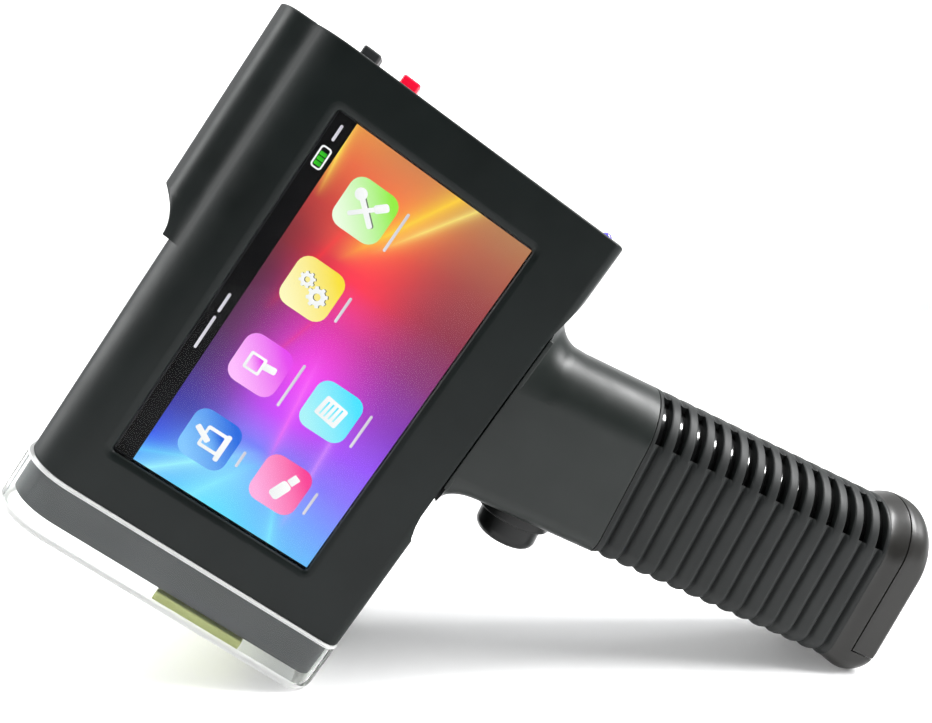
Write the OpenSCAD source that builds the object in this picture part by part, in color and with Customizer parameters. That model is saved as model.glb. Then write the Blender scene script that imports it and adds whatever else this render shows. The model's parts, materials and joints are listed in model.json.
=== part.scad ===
// Handheld date code inkjet printer: a pistol-shaped body with a touch screen on its side,
// a print face under a clear dust cap, and a ribbed battery grip with a push trigger.
// Local axes: x runs from the body towards the grip, y from the print face to the rear face,
// z out of the screen. stance() turns them so that the printer leans on its cap and its heel.

/* [Body] */
// Left side of the body, measured from the corner of the display
body_left = -17.5; // [-19:0.5:-16]
// Right side of the body, where the grip starts
body_right = 71.5; // [70:0.5:74]
// Print end of the casing
body_print = -13; // [-15:0.5:-12]
// Rear face of the casing
body_rear = 107.9; // [107:0.1:112]
// Height of the screen-side face above the display glass
face_z = 1.2; // [0.8:0.1:2]
// Back face of the casing
back_z = -52; // [-56:0.5:-51.5]
// Level of the seam between the front cover and the back casing
seam_z = -9; // [-10:0.5:-8.5]
// Wall thickness of the casing
wall = 3; // [2.5:0.5:3]

/* [Screen] */
// Width of the display's lit area
display_w = 53.9; // [53:0.1:55]
// Length of the display's lit area
display_l = 95; // [94:0.5:96]
// Outer width of the display module
module_w = 66; // [64:0.5:66]
// Outer length of the display module
module_l = 105; // [104:0.5:105]
// Thickness of the touch lens
lens_t = 1.5; // [1:0.1:1.6]

/* [Print end] */
// Depth of the print base past the casing
base_d = 10.7; // [10:0.1:11]
// Depth of the dust cap past the casing
cap_d = 15.5; // [15.3:0.1:17]
// Wall thickness of the dust cap
cap_wall = 1.3; // [1:0.1:1.4]
// How far the dust cap stands out round the casing
cap_outset = 0.8; // [0.6:0.1:0.9]
// Radius of the encoder wheel over its tyre
wheel_r = 9; // [8.6:0.1:9.2]
// Place of the printing cartridge along x
cartridge_x = 38.5; // [38:0.5:40]

/* [Port housing] */
// Left side of the port housing
bay_left = -26; // [-27:0.5:-24]
// Radius of the hollow that ends the port housing
bay_hollow_r = 9.7; // [9:0.1:10]

/* [Grip] */
// Tilt of the grip against the body
grip_tilt = 9.5; // [8:0.5:11]
// Length of the grip from its root to its end
grip_l = 120.5; // [117:0.5:124]
// Half thickness of the grip
grip_half = 15.5; // [15.5:0.1:16]
// Trigger side of the grip
grip_low = -25.2; // [-25.6:0.1:-25.2]
// Rear side of the grip
grip_top = 20.5; // [20.5:0.1:21]
// Number of grooves in the sleeve
groove_n = 14; // [8:1:14]
// Pitch of the grooves
groove_pitch = 5.12; // [4.8:0.02:5.16]

/* [Trigger] */
// Place of the trigger along the grip
trigger_u = 17.8; // [17:0.1:18.5]
// Radius of the trigger button
trigger_r = 8.8; // [8:0.1:8.8]
// How far the trigger stands out of the grip
trigger_h = 10.8; // [8:0.1:12]

/* [Controls] */
// Width of a rear push button
button_w = 4.9; // [4:0.1:5]
// How far a rear button stands out
button_h = 4.1; // [2:0.1:5]
// Place of the black button along x
black_x = -3.1; // [-3.1:0.1:-2]
// Place of the red button along x
red_x = 8.2; // [7.5:0.1:12]

/* [Hidden] */
$fn = 48;
far = 300;                      // larger than the object, for cutting half spaces
gap = 0.3;                      // clearance between pieces that move past each other
left_round_x = 14.5;            // long rounding of the casing's left front edge, along x
left_round_z = 9.5;             // and along z
right_round = 3;                // rounding of the right front edge
back_round = 8;                 // rounding of both back edges
base_inset = cap_wall - cap_outset + 0.4;   // the print base stands clear of the dust cap
cap_side = 0.2;                 // reach of the dust cap past the casing on the right
cap_corner_left = 2;
cap_corner_right = 4;
mid_z = -20.5;                  // middle plane of the grip
root = [72, 60, mid_z];         // origin of the grip's own axes
collar_half = grip_half + 0.6;
collar_low = grip_low - 1.1;
collar_top = grip_top + 2.4;
collar_u = grip_l - 12.2;       // start of the end collar
door_u = grip_l - 7.5;          // seam of the battery door
door_low = -19.6;               // the battery door ends here, above the heel
heel_r = 6;
root_fillet_r = 11;
fillet_c = [(root_fillet_r + body_right - root[0] + (grip_top + root_fillet_r) * sin(grip_tilt))
    / cos(grip_tilt), grip_top + root_fillet_r];
door_corner = 4;
core_inset = 2;                 // the sleeve's thickness over the grip's core
cavity_half = grip_half - 4;
sleeve_u = 37.2;
first_groove_u = 39.6;
screw_places = [[64.2, -6.2], [64.2, 100.6], [-10.5, 100.6], [-10.5, -6.2]];
post_r = 3.6;
grip_screw_places = [[8, 9], [31, 9], [31, -15]];
cell_v = [-11.6, 6.7];
wrap_t = 0.4;
cell_r = 9.1;
cell_u = 40;
cell_l = 65;
hinge_x = 54.5;
hinge_z = back_z + wall / 2;
hinge_r = wall / 2;
pin_r = 0.75;
door_y = [-6, 60];
door_x = [22, hinge_x + hinge_r + 0.4];
wheel_c = [14, body_print - base_d - 1.5 + wheel_r, -26];
wheel_w = 9;
axle_r = 1.5;
nose_w = 8;
pad_t = 2.7;
nose_l = 21;
button_z = -14;
trigger_edge = 3;               // rounding of the trigger's end
trigger_crown = 1.2;            // and its crown
buzzer_x = -3.5;

// Lean of the printer: its cap corner and its heel touch the same level.
heel_uv = [grip_l - heel_r, collar_low + heel_r];
heel_x = root[0] + heel_uv[0] * cos(grip_tilt) - heel_uv[1] * sin(grip_tilt);
heel_y = root[1] + heel_uv[0] * sin(grip_tilt) + heel_uv[1] * cos(grip_tilt);
cap_left = body_left - cap_outset;
cap_right = body_right + cap_side;
cap_y = body_print - cap_d;
toe_x = cap_right - cap_corner_right;
toe_y = cap_y + cap_corner_right;
span = norm([heel_x - toe_x, heel_y - toe_y]);
lean = atan2(heel_y - toe_y, heel_x - toe_x) - asin((heel_r - cap_corner_right) / span);
low = toe_y * cos(lean) - toe_x * sin(lean) - cap_corner_right;
door_corner_uv = [grip_l - door_corner, collar_top - door_corner];
right_end = root[0] * cos(lean) + root[1] * sin(lean) + door_corner
    + door_corner_uv[0] * cos(lean - grip_tilt) + door_corner_uv[1] * sin(lean - grip_tilt);
left_end = (cap_left + cap_corner_left) * cos(lean) + (cap_y + cap_corner_left) * sin(lean)
    - cap_corner_left;
mid_depth = (face_z + back_z) / 2;

// Places a child in the stance of the printer: z up, standing on the ground plane.
module stance()
    translate([-(left_end + right_end) / 2, mid_depth, -low])
        rotate([0, lean, 0]) rotate([90, 0, 0]) children();

// Places a child in the grip's axes: x along the grip, y to its rear side, z to its screen side.
module grip_axes()
    stance() translate(root) rotate([0, 0, grip_tilt]) children();

// Points of an elliptical arc, angles in degrees.
function arc(c, rx, ry, from, to, steps = 8) =
    [for (i = [0 : steps]) let (a = from + (to - from) * i / steps)
        [c[0] + rx * cos(a), c[1] + ry * sin(a)]];

// Section of the casing in x and z, drawn in by inset.
function casing_section(inset) = let (
    l = body_left + inset, r = body_right - inset, b = back_z + inset, t = face_z - inset,
    lx = left_round_x - inset, lz = left_round_z - inset,
    rr = max(0.5, right_round - inset), br = back_round - inset)
    concat(arc([r - rr, t - rr], rr, rr, 0, 90, 5), arc([l + lx, t - lz], lx, lz, 90, 180, 10),
        arc([l + br, b + br], br, br, 180, 270, 6), arc([r - br, b + br], br, br, 270, 360, 6));

// Section of the grip in v and w: a half round rear side and a flatter trigger side.
function grip_section(half, low_v, top_v, corner = 5) = concat(
    arc([top_v - half, 0], half, half, -90, 90, 20),
    arc([low_v + corner, half - corner], corner, corner, 90, 180, 5),
    arc([low_v + corner, corner - half], corner, corner, 180, 270, 5));

// A bar with the casing's section between two values of y.
module casing_bar(y0, y1, inset = 0)
    translate([0, y1, 0]) rotate([90, 0, 0]) linear_extrude(y1 - y0) polygon(casing_section(inset));

// A bar with a grip section between two values of u, in the grip's axes.
module grip_bar(u0, u1, half, low_v, top_v, corner = 5)
    translate([u0, 0, 0]) rotate([90, 0, 90])
        linear_extrude(u1 - u0) polygon(grip_section(half, low_v, top_v, corner));

module box(from, to) translate(from) cube(to - from);

// A cylinder along y or along x, from a starting point.
module rod_y(from, r, l) translate(from) rotate([-90, 0, 0]) cylinder(r = r, h = l);
module rod_x(from, r, l) translate(from) rotate([0, 90, 0]) cylinder(r = r, h = l);
module rod_z(from, r, l) translate(from) cylinder(r = r, h = l);

module front_cover() color("#2b2d2d") stance() difference() {
    union() {
        difference() {
            intersection() {
                casing_bar(body_print, body_rear);
                box([-far, -far, seam_z], [far, far, far]);
            }
            casing_bar(body_print + wall, body_rear - wall, wall);
        }
        for (p = screw_places) intersection() {
            rod_z([p[0], p[1], seam_z], post_r, -seam_z);
            casing_bar(body_print, body_rear, 0.5);
        }
        box([66.7, 24, seam_z], [69.4, 83, -1]);
    }
    // Pocket for the display module, and the window over its lit area.
    box([-6.3, -5.3, seam_z - 1], [-6.3 + module_w + 0.6, -5.3 + module_l + 0.6, 0]);
    box([-0.2, -0.2, -1], [display_w + 0.2, display_l + 0.2, far]);
    // Relief beside the grip's root, which runs out along the root's fillet.
    translate([0, 0, seam_z - 1]) linear_extrude(far) polygon([
        [69.4, 27], [69.4, 81], [body_right - 0.1, 92.5], [far, 92.5], [far, 20], [body_right - 0.1, 20]]);
    for (p = screw_places) rod_z([p[0], p[1], seam_z - 1], 1.25, 6);
    rod_y([67.4, 104, -6.2], 1.7, 10);
}

module back_casing() color("#262828") stance() difference() {
    union() {
        difference() {
            intersection() {
                casing_bar(body_print, body_rear);
                box([-far, -far, -far], [far, far, seam_z]);
            }
            casing_bar(body_print + wall, body_rear - wall, wall);
        }
        for (p = screw_places) intersection() {
            rod_z([p[0], p[1], back_z], post_r, seam_z - back_z);
            casing_bar(body_print, body_rear, 0.5);
        }
    }
    // Print end: room for the cartridge and the encoder wheel.
    box([-4, body_print - 1, -46], [58, body_print + wall + 1, -13]);
    // Left side: opening into the port housing.
    box([body_left - 1, 64, -40], [body_left + wall + 1, 98, -16]);
    // Right side: passage for the leads into the grip.
    rod_x([body_right - wall - 1, 60, mid_z], 6, wall + 2);
    // Back: opening under the cartridge door, and its hinge pin.
    box([door_x[0], door_y[0], back_z - 1], [door_x[1], door_y[1], back_z + wall + 0.5]);
    rod_y([hinge_x, door_y[0] - 2.4, hinge_z], pin_r, door_y[1] - door_y[0] + 4.8);
    for (p = screw_places) {
        rod_z([p[0], p[1], back_z - 1], 2.8, 7);
        rod_z([p[0], p[1], back_z], 1.5, seam_z - back_z + 1);
    }
    for (x = [black_x, red_x]) translate([x, body_rear - wall / 2, button_z])
        cube([button_w + 2 * gap, wall + 2, button_w + 2 * gap], center = true);
}

// Outline of the port housing in x and z, drawn in by inset.
function bay_section(inset) = let (l = bay_left + inset) concat(
    [[body_left + 8, -1.2 - inset], [-14.4, -2.6 - inset]],
    [[-17, -3.1 - inset], [-21, -4.2 - inset], [-23.5, -6.6 - inset]],
    arc([l + 3, -11.2], 3, 3 - inset / 2, 135, 180, 3),
    arc([l + 5, -44 + inset], 5, 5, 180, 270, 5), [[body_left + 8, -49 + inset]]);

module port_housing() color("#2a2c2c") stance() difference() {
    translate([0, body_rear, 0]) rotate([90, 0, 0])
        linear_extrude(body_rear - 48.5) polygon(bay_section(0));
    translate([0, body_rear - 2.2, 0]) rotate([90, 0, 0])
        linear_extrude(body_rear - 2.2 - 60.5) polygon(bay_section(2.2));
    casing_bar(body_print, body_rear + 1);
    rod_z([bay_left - 1.7, 48.5, -far / 2], bay_hollow_r, far);
    box([bay_left - 1, 82.9, -31.3], [bay_left + 4, 97.1, -24.7]);
    rod_x([bay_left - 1, 71, -28], 4.2, 6);
}

module touch_lens() color("#0b0d10") stance()
    box([-6, -5, -lens_t], [-6 + module_w, -5 + module_l, -0.02]);

module lcd_panel() color("#3a4a8c") stance()
    box([-6, -5, -4.6], [-6 + module_w, -5 + module_l, -lens_t - 0.05]);

module lcd_back_plate() color("#b8bcc0") stance() difference() {
    box([-6, -5, -5.8], [-6 + module_w, -5 + module_l, -4.65]);
    for (y = [15, 75]) box([10, y, -6.3], [44, y + 8, -5.2]);
}

module main_board() color("#1d5b34") stance() difference() {
    box([2, -4, -12.6], [60, 97, -11]);
    for (x = [5.5, 56.5]) for (y = [-0.5, 93]) rod_z([x, y, -13], 1.6, 3);
}

module processor_shield() color("#c2c5c8") stance() difference() {
    box([18, 34, -10.95], [44, 60, -8.4]);
    for (i = [0 : 3]) box([21 + 5.5 * i, 37, -8.7], [24 + 5.5 * i, 57, -8]);
}

module print_base() color("#707073") stance() difference() {
    union() {
        difference() {
            // The cap's right wall stands further in than its other walls.
            intersection() {
                casing_bar(body_print - base_d, body_print, base_inset);
                translate([cap_side - cap_outset, 0, 0])
                    casing_bar(body_print - base_d, body_print, base_inset);
            }
            casing_bar(body_print - base_d + 3, body_print + 1, base_inset + 2.5);
        }
        // Lugs that carry the encoder's axle.
        for (z = [wheel_c[2] - 7.5, wheel_c[2] + 5])
            box([wheel_c[0] - 3.5, body_print - base_d + 2, z],
                [wheel_c[0] + 3.5, wheel_c[1] + 4, z + 2.5]);
        // Bosses under the base screws.
        for (x = [-8, 62]) rod_y([x, body_print - base_d + 1, -40], 3, base_d - 1);
    }
    box([cartridge_x - nose_w / 2 - 0.5, -far, mid_z - 5.5 - nose_l / 2 - 0.5],
        [cartridge_x + nose_w / 2 + 0.5, 0, mid_z - 5.5 + nose_l / 2 + 0.5]);
    box([wheel_c[0] - 8, -far, wheel_c[2] - wheel_w / 2 - 0.5],
        [wheel_c[0] + 8, body_print - base_d + 3.5, wheel_c[2] + wheel_w / 2 + 0.5]);
    rod_z([wheel_c[0], wheel_c[1], wheel_c[2] - 8], axle_r, 16);
    for (x = [-8, 62]) {
        rod_y([x, body_print - base_d - 1, -40], 1.25, base_d + 2);
        rod_y([x, body_print - base_d - 1, -40], 2.3, 2.8);
    }
}

module nozzle_guard() color("#c9ccce") stance() difference() {
    box([cartridge_x - 10, body_print - base_d - 0.5, mid_z - 20],
        [cartridge_x + 10, body_print - base_d, mid_z + 9]);
    box([cartridge_x - nose_w / 2, -far, mid_z - 5.5 - nose_l / 2],
        [cartridge_x + nose_w / 2, far, mid_z - 5.5 + nose_l / 2]);
}

module ink_cartridge() color("#15171a") stance() {
    box([cartridge_x - 11, -8, -46], [cartridge_x + 11, 55, -15]);
    box([cartridge_x - nose_w / 2, body_print - base_d + 1, mid_z - 5.5 - nose_l / 2],
        [cartridge_x + nose_w / 2, -7, mid_z - 5.5 + nose_l / 2]);
    // Lip that a finger pulls.
    box([cartridge_x - 8, 54, -48], [cartridge_x + 8, 57.5, -38]);
}

module nozzle_strip() color("#c98f2b") stance()
    box([cartridge_x - 2.5, body_print - base_d + 0.3, mid_z - 14],
        [cartridge_x + 2.5, body_print - base_d + 1, mid_z + 3]);

module cartridge_cradle() color("#3a3d40") stance() difference() {
    box([cartridge_x - 13.6, -9.8, -48.5], [cartridge_x + 13.6, 42, -12.9]);
    box([cartridge_x - 11.2, -8.2, -60], [cartridge_x + 11.2, 60, -14.8]);
    box([cartridge_x - nose_w / 2 - 0.4, -20, mid_z - 5.5 - nose_l / 2 - 0.4],
        [cartridge_x + nose_w / 2 + 0.4, 0, mid_z - 5.5 + nose_l / 2 + 0.4]);
}

module contact_board() color("#c8862e") stance()
    box([cartridge_x + 13.65, 2, -44], [cartridge_x + 14.9, 34, -18]);

module encoder_axle() color("#c4c8cc") stance()
    rod_z([wheel_c[0], wheel_c[1], wheel_c[2] - 7.5], axle_r, 15);

module encoder_sensor() color("#17181a") stance() difference() {
    box([wheel_c[0] - 5, -4.6, wheel_c[2] - 6], [wheel_c[0] + 5, 2, wheel_c[2] + 6]);
    box([wheel_c[0] - 6, -5, wheel_c[2] - 1.5], [wheel_c[0] + 6, -2.5, wheel_c[2] + 1.5]);
}

module usb_socket() color("#c9cdd0") stance() {
    difference() {
        box([bay_left + 0.3, 83.4, -30.9], [bay_left + 14, 96.6, -25.1]);
        box([bay_left - 1, 84, -30.3], [bay_left + 13.3, 96, -25.7]);
    }
    box([bay_left + 1.5, 85, -27.5], [bay_left + 13.6, 95, -25.8]);
}

module dc_jack() color("#141516") stance() {
    difference() {
        rod_x([bay_left + 0.2, 71, -28], 4, 11);
        rod_x([bay_left - 1, 71, -28], 2.75, 10.7);
    }
    rod_x([bay_left + 1.5, 71, -28], 1.05, 8.5);
}

module buzzer() color("#1b1c1e") stance() difference() {
    rod_z([buzzer_x, 40, -48.8], 6, 7.5);
    rod_z([buzzer_x, 40, -43], 1.2, 4);
}

module status_led() color("#7d84ff") stance() translate([67.4, 105.4, -6.2]) rotate([-90, 0, 0]) {
    cylinder(r = 1.7, h = 2.6);
    translate([0, 0, 2.5]) intersection() {
        sphere(r = 1.7);
        cylinder(r = 3, h = 3);
    }
}

module button_switches() color("#202224") stance() for (x = [black_x, red_x]) {
    box([x - 3, 97.3, button_z - 3], [x + 3, 101.3, button_z + 3]);
    rod_y([x, 101.2, button_z], 1.5, 1);
}

// Case screws run from the back into the front cover's bosses.
module case_screws() color("#b9bcc0") stance() for (p = screw_places) difference() {
    union() {
        rod_z([p[0], p[1], back_z + 4], 2.6, 2);
        rod_z([p[0], p[1], back_z + 5.9], 1.25, seam_z - back_z - 5.9 + 4);
    }
    for (turn = [0, 90]) translate([p[0], p[1], back_z + 4.4]) rotate([0, 0, turn])
        cube([3, 0.7, 1.6], center = true);
}

module base_screws() color("#b9bcc0") stance() for (x = [-8, 62]) difference() {
    union() {
        rod_y([x, body_print - base_d + 0.2, -40], 2.2, 1.6);
        rod_y([x, body_print - base_d + 1.7, -40], 1.25, base_d - 2);
    }
    for (turn = [0, 90]) translate([x, body_print - base_d + 0.4, -40]) rotate([0, turn, 0])
        cube([2.6, 1.2, 0.6], center = true);
}

module door_hinge_pin() color("#c4c8cc") stance()
    rod_y([hinge_x, door_y[0] - 2.2, hinge_z], pin_r, door_y[1] - door_y[0] + 4.4);

// Shell of the whole grip, without its sleeve, in the grip's axes.
module grip_shell() difference() {
    union() {
        grip_bar(-14, sleeve_u, grip_half, grip_low, grip_top);
        // Fillet between the casing and the grip's rear side.
        difference() {
            box([-8, 10, -9], [fillet_c[0], fillet_c[1], 9]);
            translate([fillet_c[0], fillet_c[1], -far / 2]) cylinder(r = root_fillet_r, h = far);
        }
        grip_bar(sleeve_u - 1, collar_u, grip_half - core_inset, grip_low + core_inset,
            grip_top - core_inset, 4);
    }
    grip_bar(-15, collar_u + 1, cavity_half, grip_low + 4, grip_top - 4, 3);
    translate([trigger_u, -30, 0]) rotate([-90, 0, 0]) cylinder(r = 9.9, h = 12);
}

// Keeps what lies to the right of the casing, in the local axes.
module right_of_casing() intersection() {
    children();
    box([body_right + 0.02, -far, -far], [far, far, far]);
}

module grip_half_shell(side) stance() {
    right_of_casing() translate(root) rotate([0, 0, grip_tilt]) difference() {
        union() {
            intersection() {
                grip_shell();
                box([-far, -far, side > 0 ? 0 : -far], [far, far, side > 0 ? far : -0.02]);
            }
            for (p = grip_screw_places)
                rod_z([p[0], p[1], side > 0 ? 0 : -grip_half + 2], 3.2, grip_half - 2.02);
        }
        if (side > 0) for (p = grip_screw_places) rod_z([p[0], p[1], -1], 1.25, 11);
        else for (p = grip_screw_places) {
            rod_z([p[0], p[1], -grip_half - 1], 1.5, grip_half + 2);
            rod_z([p[0], p[1], -grip_half - 1], 2.8, 4);
        }
    }
}

module grip_front() color("#2b2d2d") {
    grip_half_shell(1);
    stance() box([69.6, 34.6, seam_z + 0.05], [body_right + 0.5, 80.4, mid_z + grip_half]);
}

module grip_back() color("#262828") grip_half_shell(-1);

module grip_sleeve() color("#222424") grip_axes() difference() {
    grip_bar(sleeve_u + 0.02, collar_u - 0.1, grip_half, grip_low, grip_top);
    grip_bar(0, grip_l, grip_half - core_inset + 0.01, grip_low + core_inset - 0.01,
        grip_top - core_inset + 0.01, 4);
    for (i = [0 : groove_n - 1]) translate([first_groove_u + i * groove_pitch, 0, 0]) {
        // Windows through both shoulders, and shallow grooves down the flat sides.
        for (side = [-1, 1]) {
            box([-1.2, 8, side > 0 ? 5 : -far], [1.2, 17, side > 0 ? far : -5]);
            box([-0.4, -far, side > 0 ? grip_half - 0.8 : -far],
                [0.4, 8.1, side > 0 ? far : 0.8 - grip_half]);
        }
        box([-0.8, -far, -far], [0.8, grip_low + 0.7, far]);
    }
}

// Cuts the heel's lower corner round, in the grip's axes.
module heel_corner() difference() {
    box([heel_uv[0], collar_low - 5, -far / 2], [grip_l + 5, heel_uv[1], far / 2]);
    translate([heel_uv[0], heel_uv[1], -far / 2]) cylinder(r = heel_r, h = far);
}

module end_collar() color("#2b2d2d") grip_axes() difference() {
    grip_bar(collar_u, grip_l, collar_half, collar_low, collar_top);
    grip_bar(0, door_u + 0.01, cavity_half, grip_low + 4, grip_top - 4, 3);
    box([door_u, door_low, -far], [far, far, far]);
    heel_corner();
}

module battery_door() color("#2b2d2d") grip_axes() difference() {
    intersection() {
        grip_bar(door_u + gap, grip_l, collar_half, collar_low, collar_top);
        box([0, door_low + gap, -far], [far, far, far]);
    }
    grip_bar(0, grip_l - 2.6, cavity_half - 1, door_low + 3, grip_top - 6, 3);
    difference() {
        box([door_corner_uv[0], door_corner_uv[1], -far / 2], [far, far, far / 2]);
        translate([door_corner_uv[0], door_corner_uv[1], -far / 2]) cylinder(r = door_corner, h = far);
    }
}

// Plate in the battery door, with two spring posts that reach to the cells.
module door_contact() color("#c9b06a") grip_axes() {
    box([grip_l - 3.4, -14, -4], [grip_l - 2.65, 8, 4]);
    for (v = cell_v) rod_x([cell_u + cell_l + 1.6, v, 0], 2, grip_l - 3.3 - cell_u - cell_l - 1.6);
}

module grip_screws() color("#b9bcc0") grip_axes() for (p = grip_screw_places) difference() {
    union() {
        rod_z([p[0], p[1], 1.2 - grip_half], 2.6, 1.78);
        rod_z([p[0], p[1], 2.9 - grip_half], 1.25, grip_half + 5);
    }
    for (turn = [0, 90]) translate([p[0], p[1], 1.5 - grip_half]) rotate([0, 0, turn])
        cube([3, 0.7, 1.4], center = true);
}

module battery_cells() color("#3f6fb5") grip_axes() for (v = cell_v) {
    rod_x([cell_u, v, 0], cell_r, cell_l);
    rod_x([cell_u + cell_l - 0.1, v, 0], 3, 1.4);
}

// Outline around both cells.
module cell_pair(r, l) {
    for (v = cell_v) rod_x([0, v, 0], r, l);
    box([0, cell_v[0], -r], [l, cell_v[1], r]);
}

module battery_wrap() color("#2456a8") grip_axes() translate([cell_u + 1, 0, 0]) difference() {
    cell_pair(cell_r + wrap_t, cell_l - 2);
    translate([-1, 0, 0]) cell_pair(cell_r + 0.05, cell_l);
}

module battery_contacts() color("#c9b06a") grip_axes() for (v = cell_v)
    rod_x([cell_u - 1.6, v, 0], 4, 1.5);

module trigger_bezel() color("#1c1e1e") grip_axes() difference() {
    union() {
        translate([trigger_u, grip_low - 3, 0]) rotate([-90, 0, 0]) cylinder(r = 10.6, h = 2.95);
        translate([trigger_u, grip_low - 1, 0]) rotate([-90, 0, 0]) cylinder(r = 9.85, h = 8);
    }
    translate([trigger_u, grip_low - 4, 0]) rotate([-90, 0, 0]) cylinder(r = trigger_r + gap, h = 20);
}

// Profile of the trigger button: a shaft with a crowned end and a stop flange.
module trigger_button() color("#131414") grip_axes()
    translate([trigger_u, grip_low, 0]) rotate([90, 0, 0]) rotate_extrude() polygon(concat(
        [[0, -8.6], [trigger_r + 1, -8.6], [trigger_r + 1, -7.4], [trigger_r, -7.4]],
        arc([trigger_r - trigger_edge, trigger_h - trigger_crown - trigger_edge],
            trigger_edge, trigger_edge, 0, 80, 6),
        [[0, trigger_h]]));

module trigger_switch() color("#202224") grip_axes() {
    box([trigger_u - 6, grip_low + 15, -3.2], [trigger_u + 6, grip_low + 21, 3.2]);
    translate([trigger_u, grip_low + 12.6, 0]) rotate([-90, 0, 0]) cylinder(r = 1.6, h = 2.5);
}

// Plan outline of the dust cap, drawn in by inset.
module cap_plan(inset, y1) {
    l = cap_left + inset;
    r = cap_right - inset;
    b = cap_y + inset;
    rl = cap_corner_left - inset;
    rr = cap_corner_right - inset;
    translate([0, 0, -far / 2]) linear_extrude(far) polygon(concat(
        [[r, y1], [l, y1]], arc([l + rl, b + rl], rl, rl, 180, 270, 4),
        arc([r - rr, b + rr], rr, rr, 270, 360, 6)));
}

module dust_cap() color("#dfe6e4", 0.45) stance() difference() {
    intersection() {
        casing_bar(cap_y, body_print - gap, -cap_outset);
        cap_plan(0, body_print);
    }
    intersection() {
        casing_bar(cap_y + cap_wall, body_print + 1, cap_wall - cap_outset);
        cap_plan(cap_wall, body_print + 2);
    }
}

module seal_pad() color("#aab63a") stance()
    box([cartridge_x - 11.6, cap_y + cap_wall, -40], [cartridge_x + 12.8, cap_y + cap_wall + pad_t, 0.4]);

// A rear push button: a square cap with a stop flange behind the wall.
module rear_button(x) stance() {
    box([x - button_w / 2, body_rear - wall - 1, button_z - button_w / 2],
        [x + button_w / 2, body_rear + button_h, button_z + button_w / 2]);
    box([x - button_w / 2 - 1, body_rear - wall - 1.2, button_z - button_w / 2 - 1],
        [x + button_w / 2 + 1, body_rear - wall - 0.2, button_z + button_w / 2 + 1]);
}

module black_button() color("#3a3c3d") rear_button(black_x);

module red_button() color("#e0184e") rear_button(red_x);

module encoder_hub() color("#4a4d50") stance() difference() {
    rod_z([wheel_c[0], wheel_c[1], wheel_c[2] - wheel_w / 2], wheel_r - 1.5, wheel_w);
    rod_z([wheel_c[0], wheel_c[1], wheel_c[2] - wheel_w], axle_r + 0.1, 2 * wheel_w);
    for (a = [0 : 60 : 300]) translate(wheel_c) rotate([0, 0, a]) rod_z([4.6, 0, -wheel_w], 1.3, 2 * wheel_w);
}

module encoder_tyre() color("#1a1a1b") stance() difference() {
    rod_z([wheel_c[0], wheel_c[1], wheel_c[2] - wheel_w / 2 + 0.5], wheel_r, wheel_w - 1);
    rod_z([wheel_c[0], wheel_c[1], wheel_c[2] - wheel_w], wheel_r - 1.5, 2 * wheel_w);
}

module cartridge_door() color("#262828") stance() difference() {
    union() {
        box([door_x[0] + gap, door_y[0] + gap, back_z], [hinge_x, door_y[1] - gap, back_z + wall]);
        rod_y([hinge_x, door_y[0] + gap, hinge_z], hinge_r, door_y[1] - door_y[0] - 2 * gap);
    }
    rod_y([hinge_x, door_y[0] - 1, hinge_z], pin_r + 0.1, door_y[1] - door_y[0] + 2);
    // Finger hollow at the free edge.
    translate([door_x[0] + gap, 27, back_z - 1.2]) rotate([0, 90, 0]) rod_z([0, 0, -1], 2.4, 12);
}

front_cover();
back_casing();
port_housing();
touch_lens();
lcd_panel();
lcd_back_plate();
main_board();
processor_shield();
print_base();
nozzle_guard();
ink_cartridge();
nozzle_strip();
cartridge_cradle();
contact_board();
encoder_axle();
encoder_sensor();
usb_socket();
dc_jack();
buzzer();
status_led();
button_switches();
case_screws();
base_screws();
door_hinge_pin();
grip_front();
grip_back();
grip_sleeve();
end_collar();
grip_screws();
battery_cells();
battery_wrap();
battery_contacts();
trigger_bezel();
trigger_switch();
dust_cap();
seal_pad();
trigger_button();
black_button();
red_button();
encoder_hub();
encoder_tyre();
cartridge_door();
battery_door();
door_contact();
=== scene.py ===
"""Looks of the handheld date code printer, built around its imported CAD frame.

Shapes are written in millimetres in the printer's own axes: x from the body towards the grip,
y from the print face to the rear face, z out of the screen. The grip's axes are u along the grip,
v to its rear side and w to its screen side. place() turns them into the row frame, in metres."""

import json
import math

import bmesh
import bpy
import numpy as np
from mathutils import Euler, Matrix, Vector


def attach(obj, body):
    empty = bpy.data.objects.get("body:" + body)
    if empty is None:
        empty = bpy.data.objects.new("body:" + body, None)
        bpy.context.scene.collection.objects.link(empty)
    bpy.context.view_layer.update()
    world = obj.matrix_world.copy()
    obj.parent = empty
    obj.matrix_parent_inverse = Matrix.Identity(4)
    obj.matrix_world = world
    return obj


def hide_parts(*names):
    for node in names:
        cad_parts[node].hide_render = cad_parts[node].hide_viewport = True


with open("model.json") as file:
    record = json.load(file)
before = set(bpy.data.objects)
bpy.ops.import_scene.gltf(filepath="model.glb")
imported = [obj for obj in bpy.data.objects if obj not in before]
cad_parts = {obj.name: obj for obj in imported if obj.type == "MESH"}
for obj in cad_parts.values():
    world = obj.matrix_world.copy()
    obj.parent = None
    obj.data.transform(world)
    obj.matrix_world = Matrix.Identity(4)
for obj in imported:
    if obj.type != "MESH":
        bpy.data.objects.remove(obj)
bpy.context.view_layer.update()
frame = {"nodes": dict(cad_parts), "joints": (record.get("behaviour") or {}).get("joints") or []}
scene = bpy.context.scene
nodes = frame["nodes"]

# ---------------------------------------------------------------- axes
MM = 0.001
PANEL_CORNER = Vector((-6, -5, -4.6))   # lowest corner of the display panel in the printer's axes
GRIP_ROOT = (72, 60, -20.5)
GRIP_TILT = math.radians(9.5)

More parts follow.
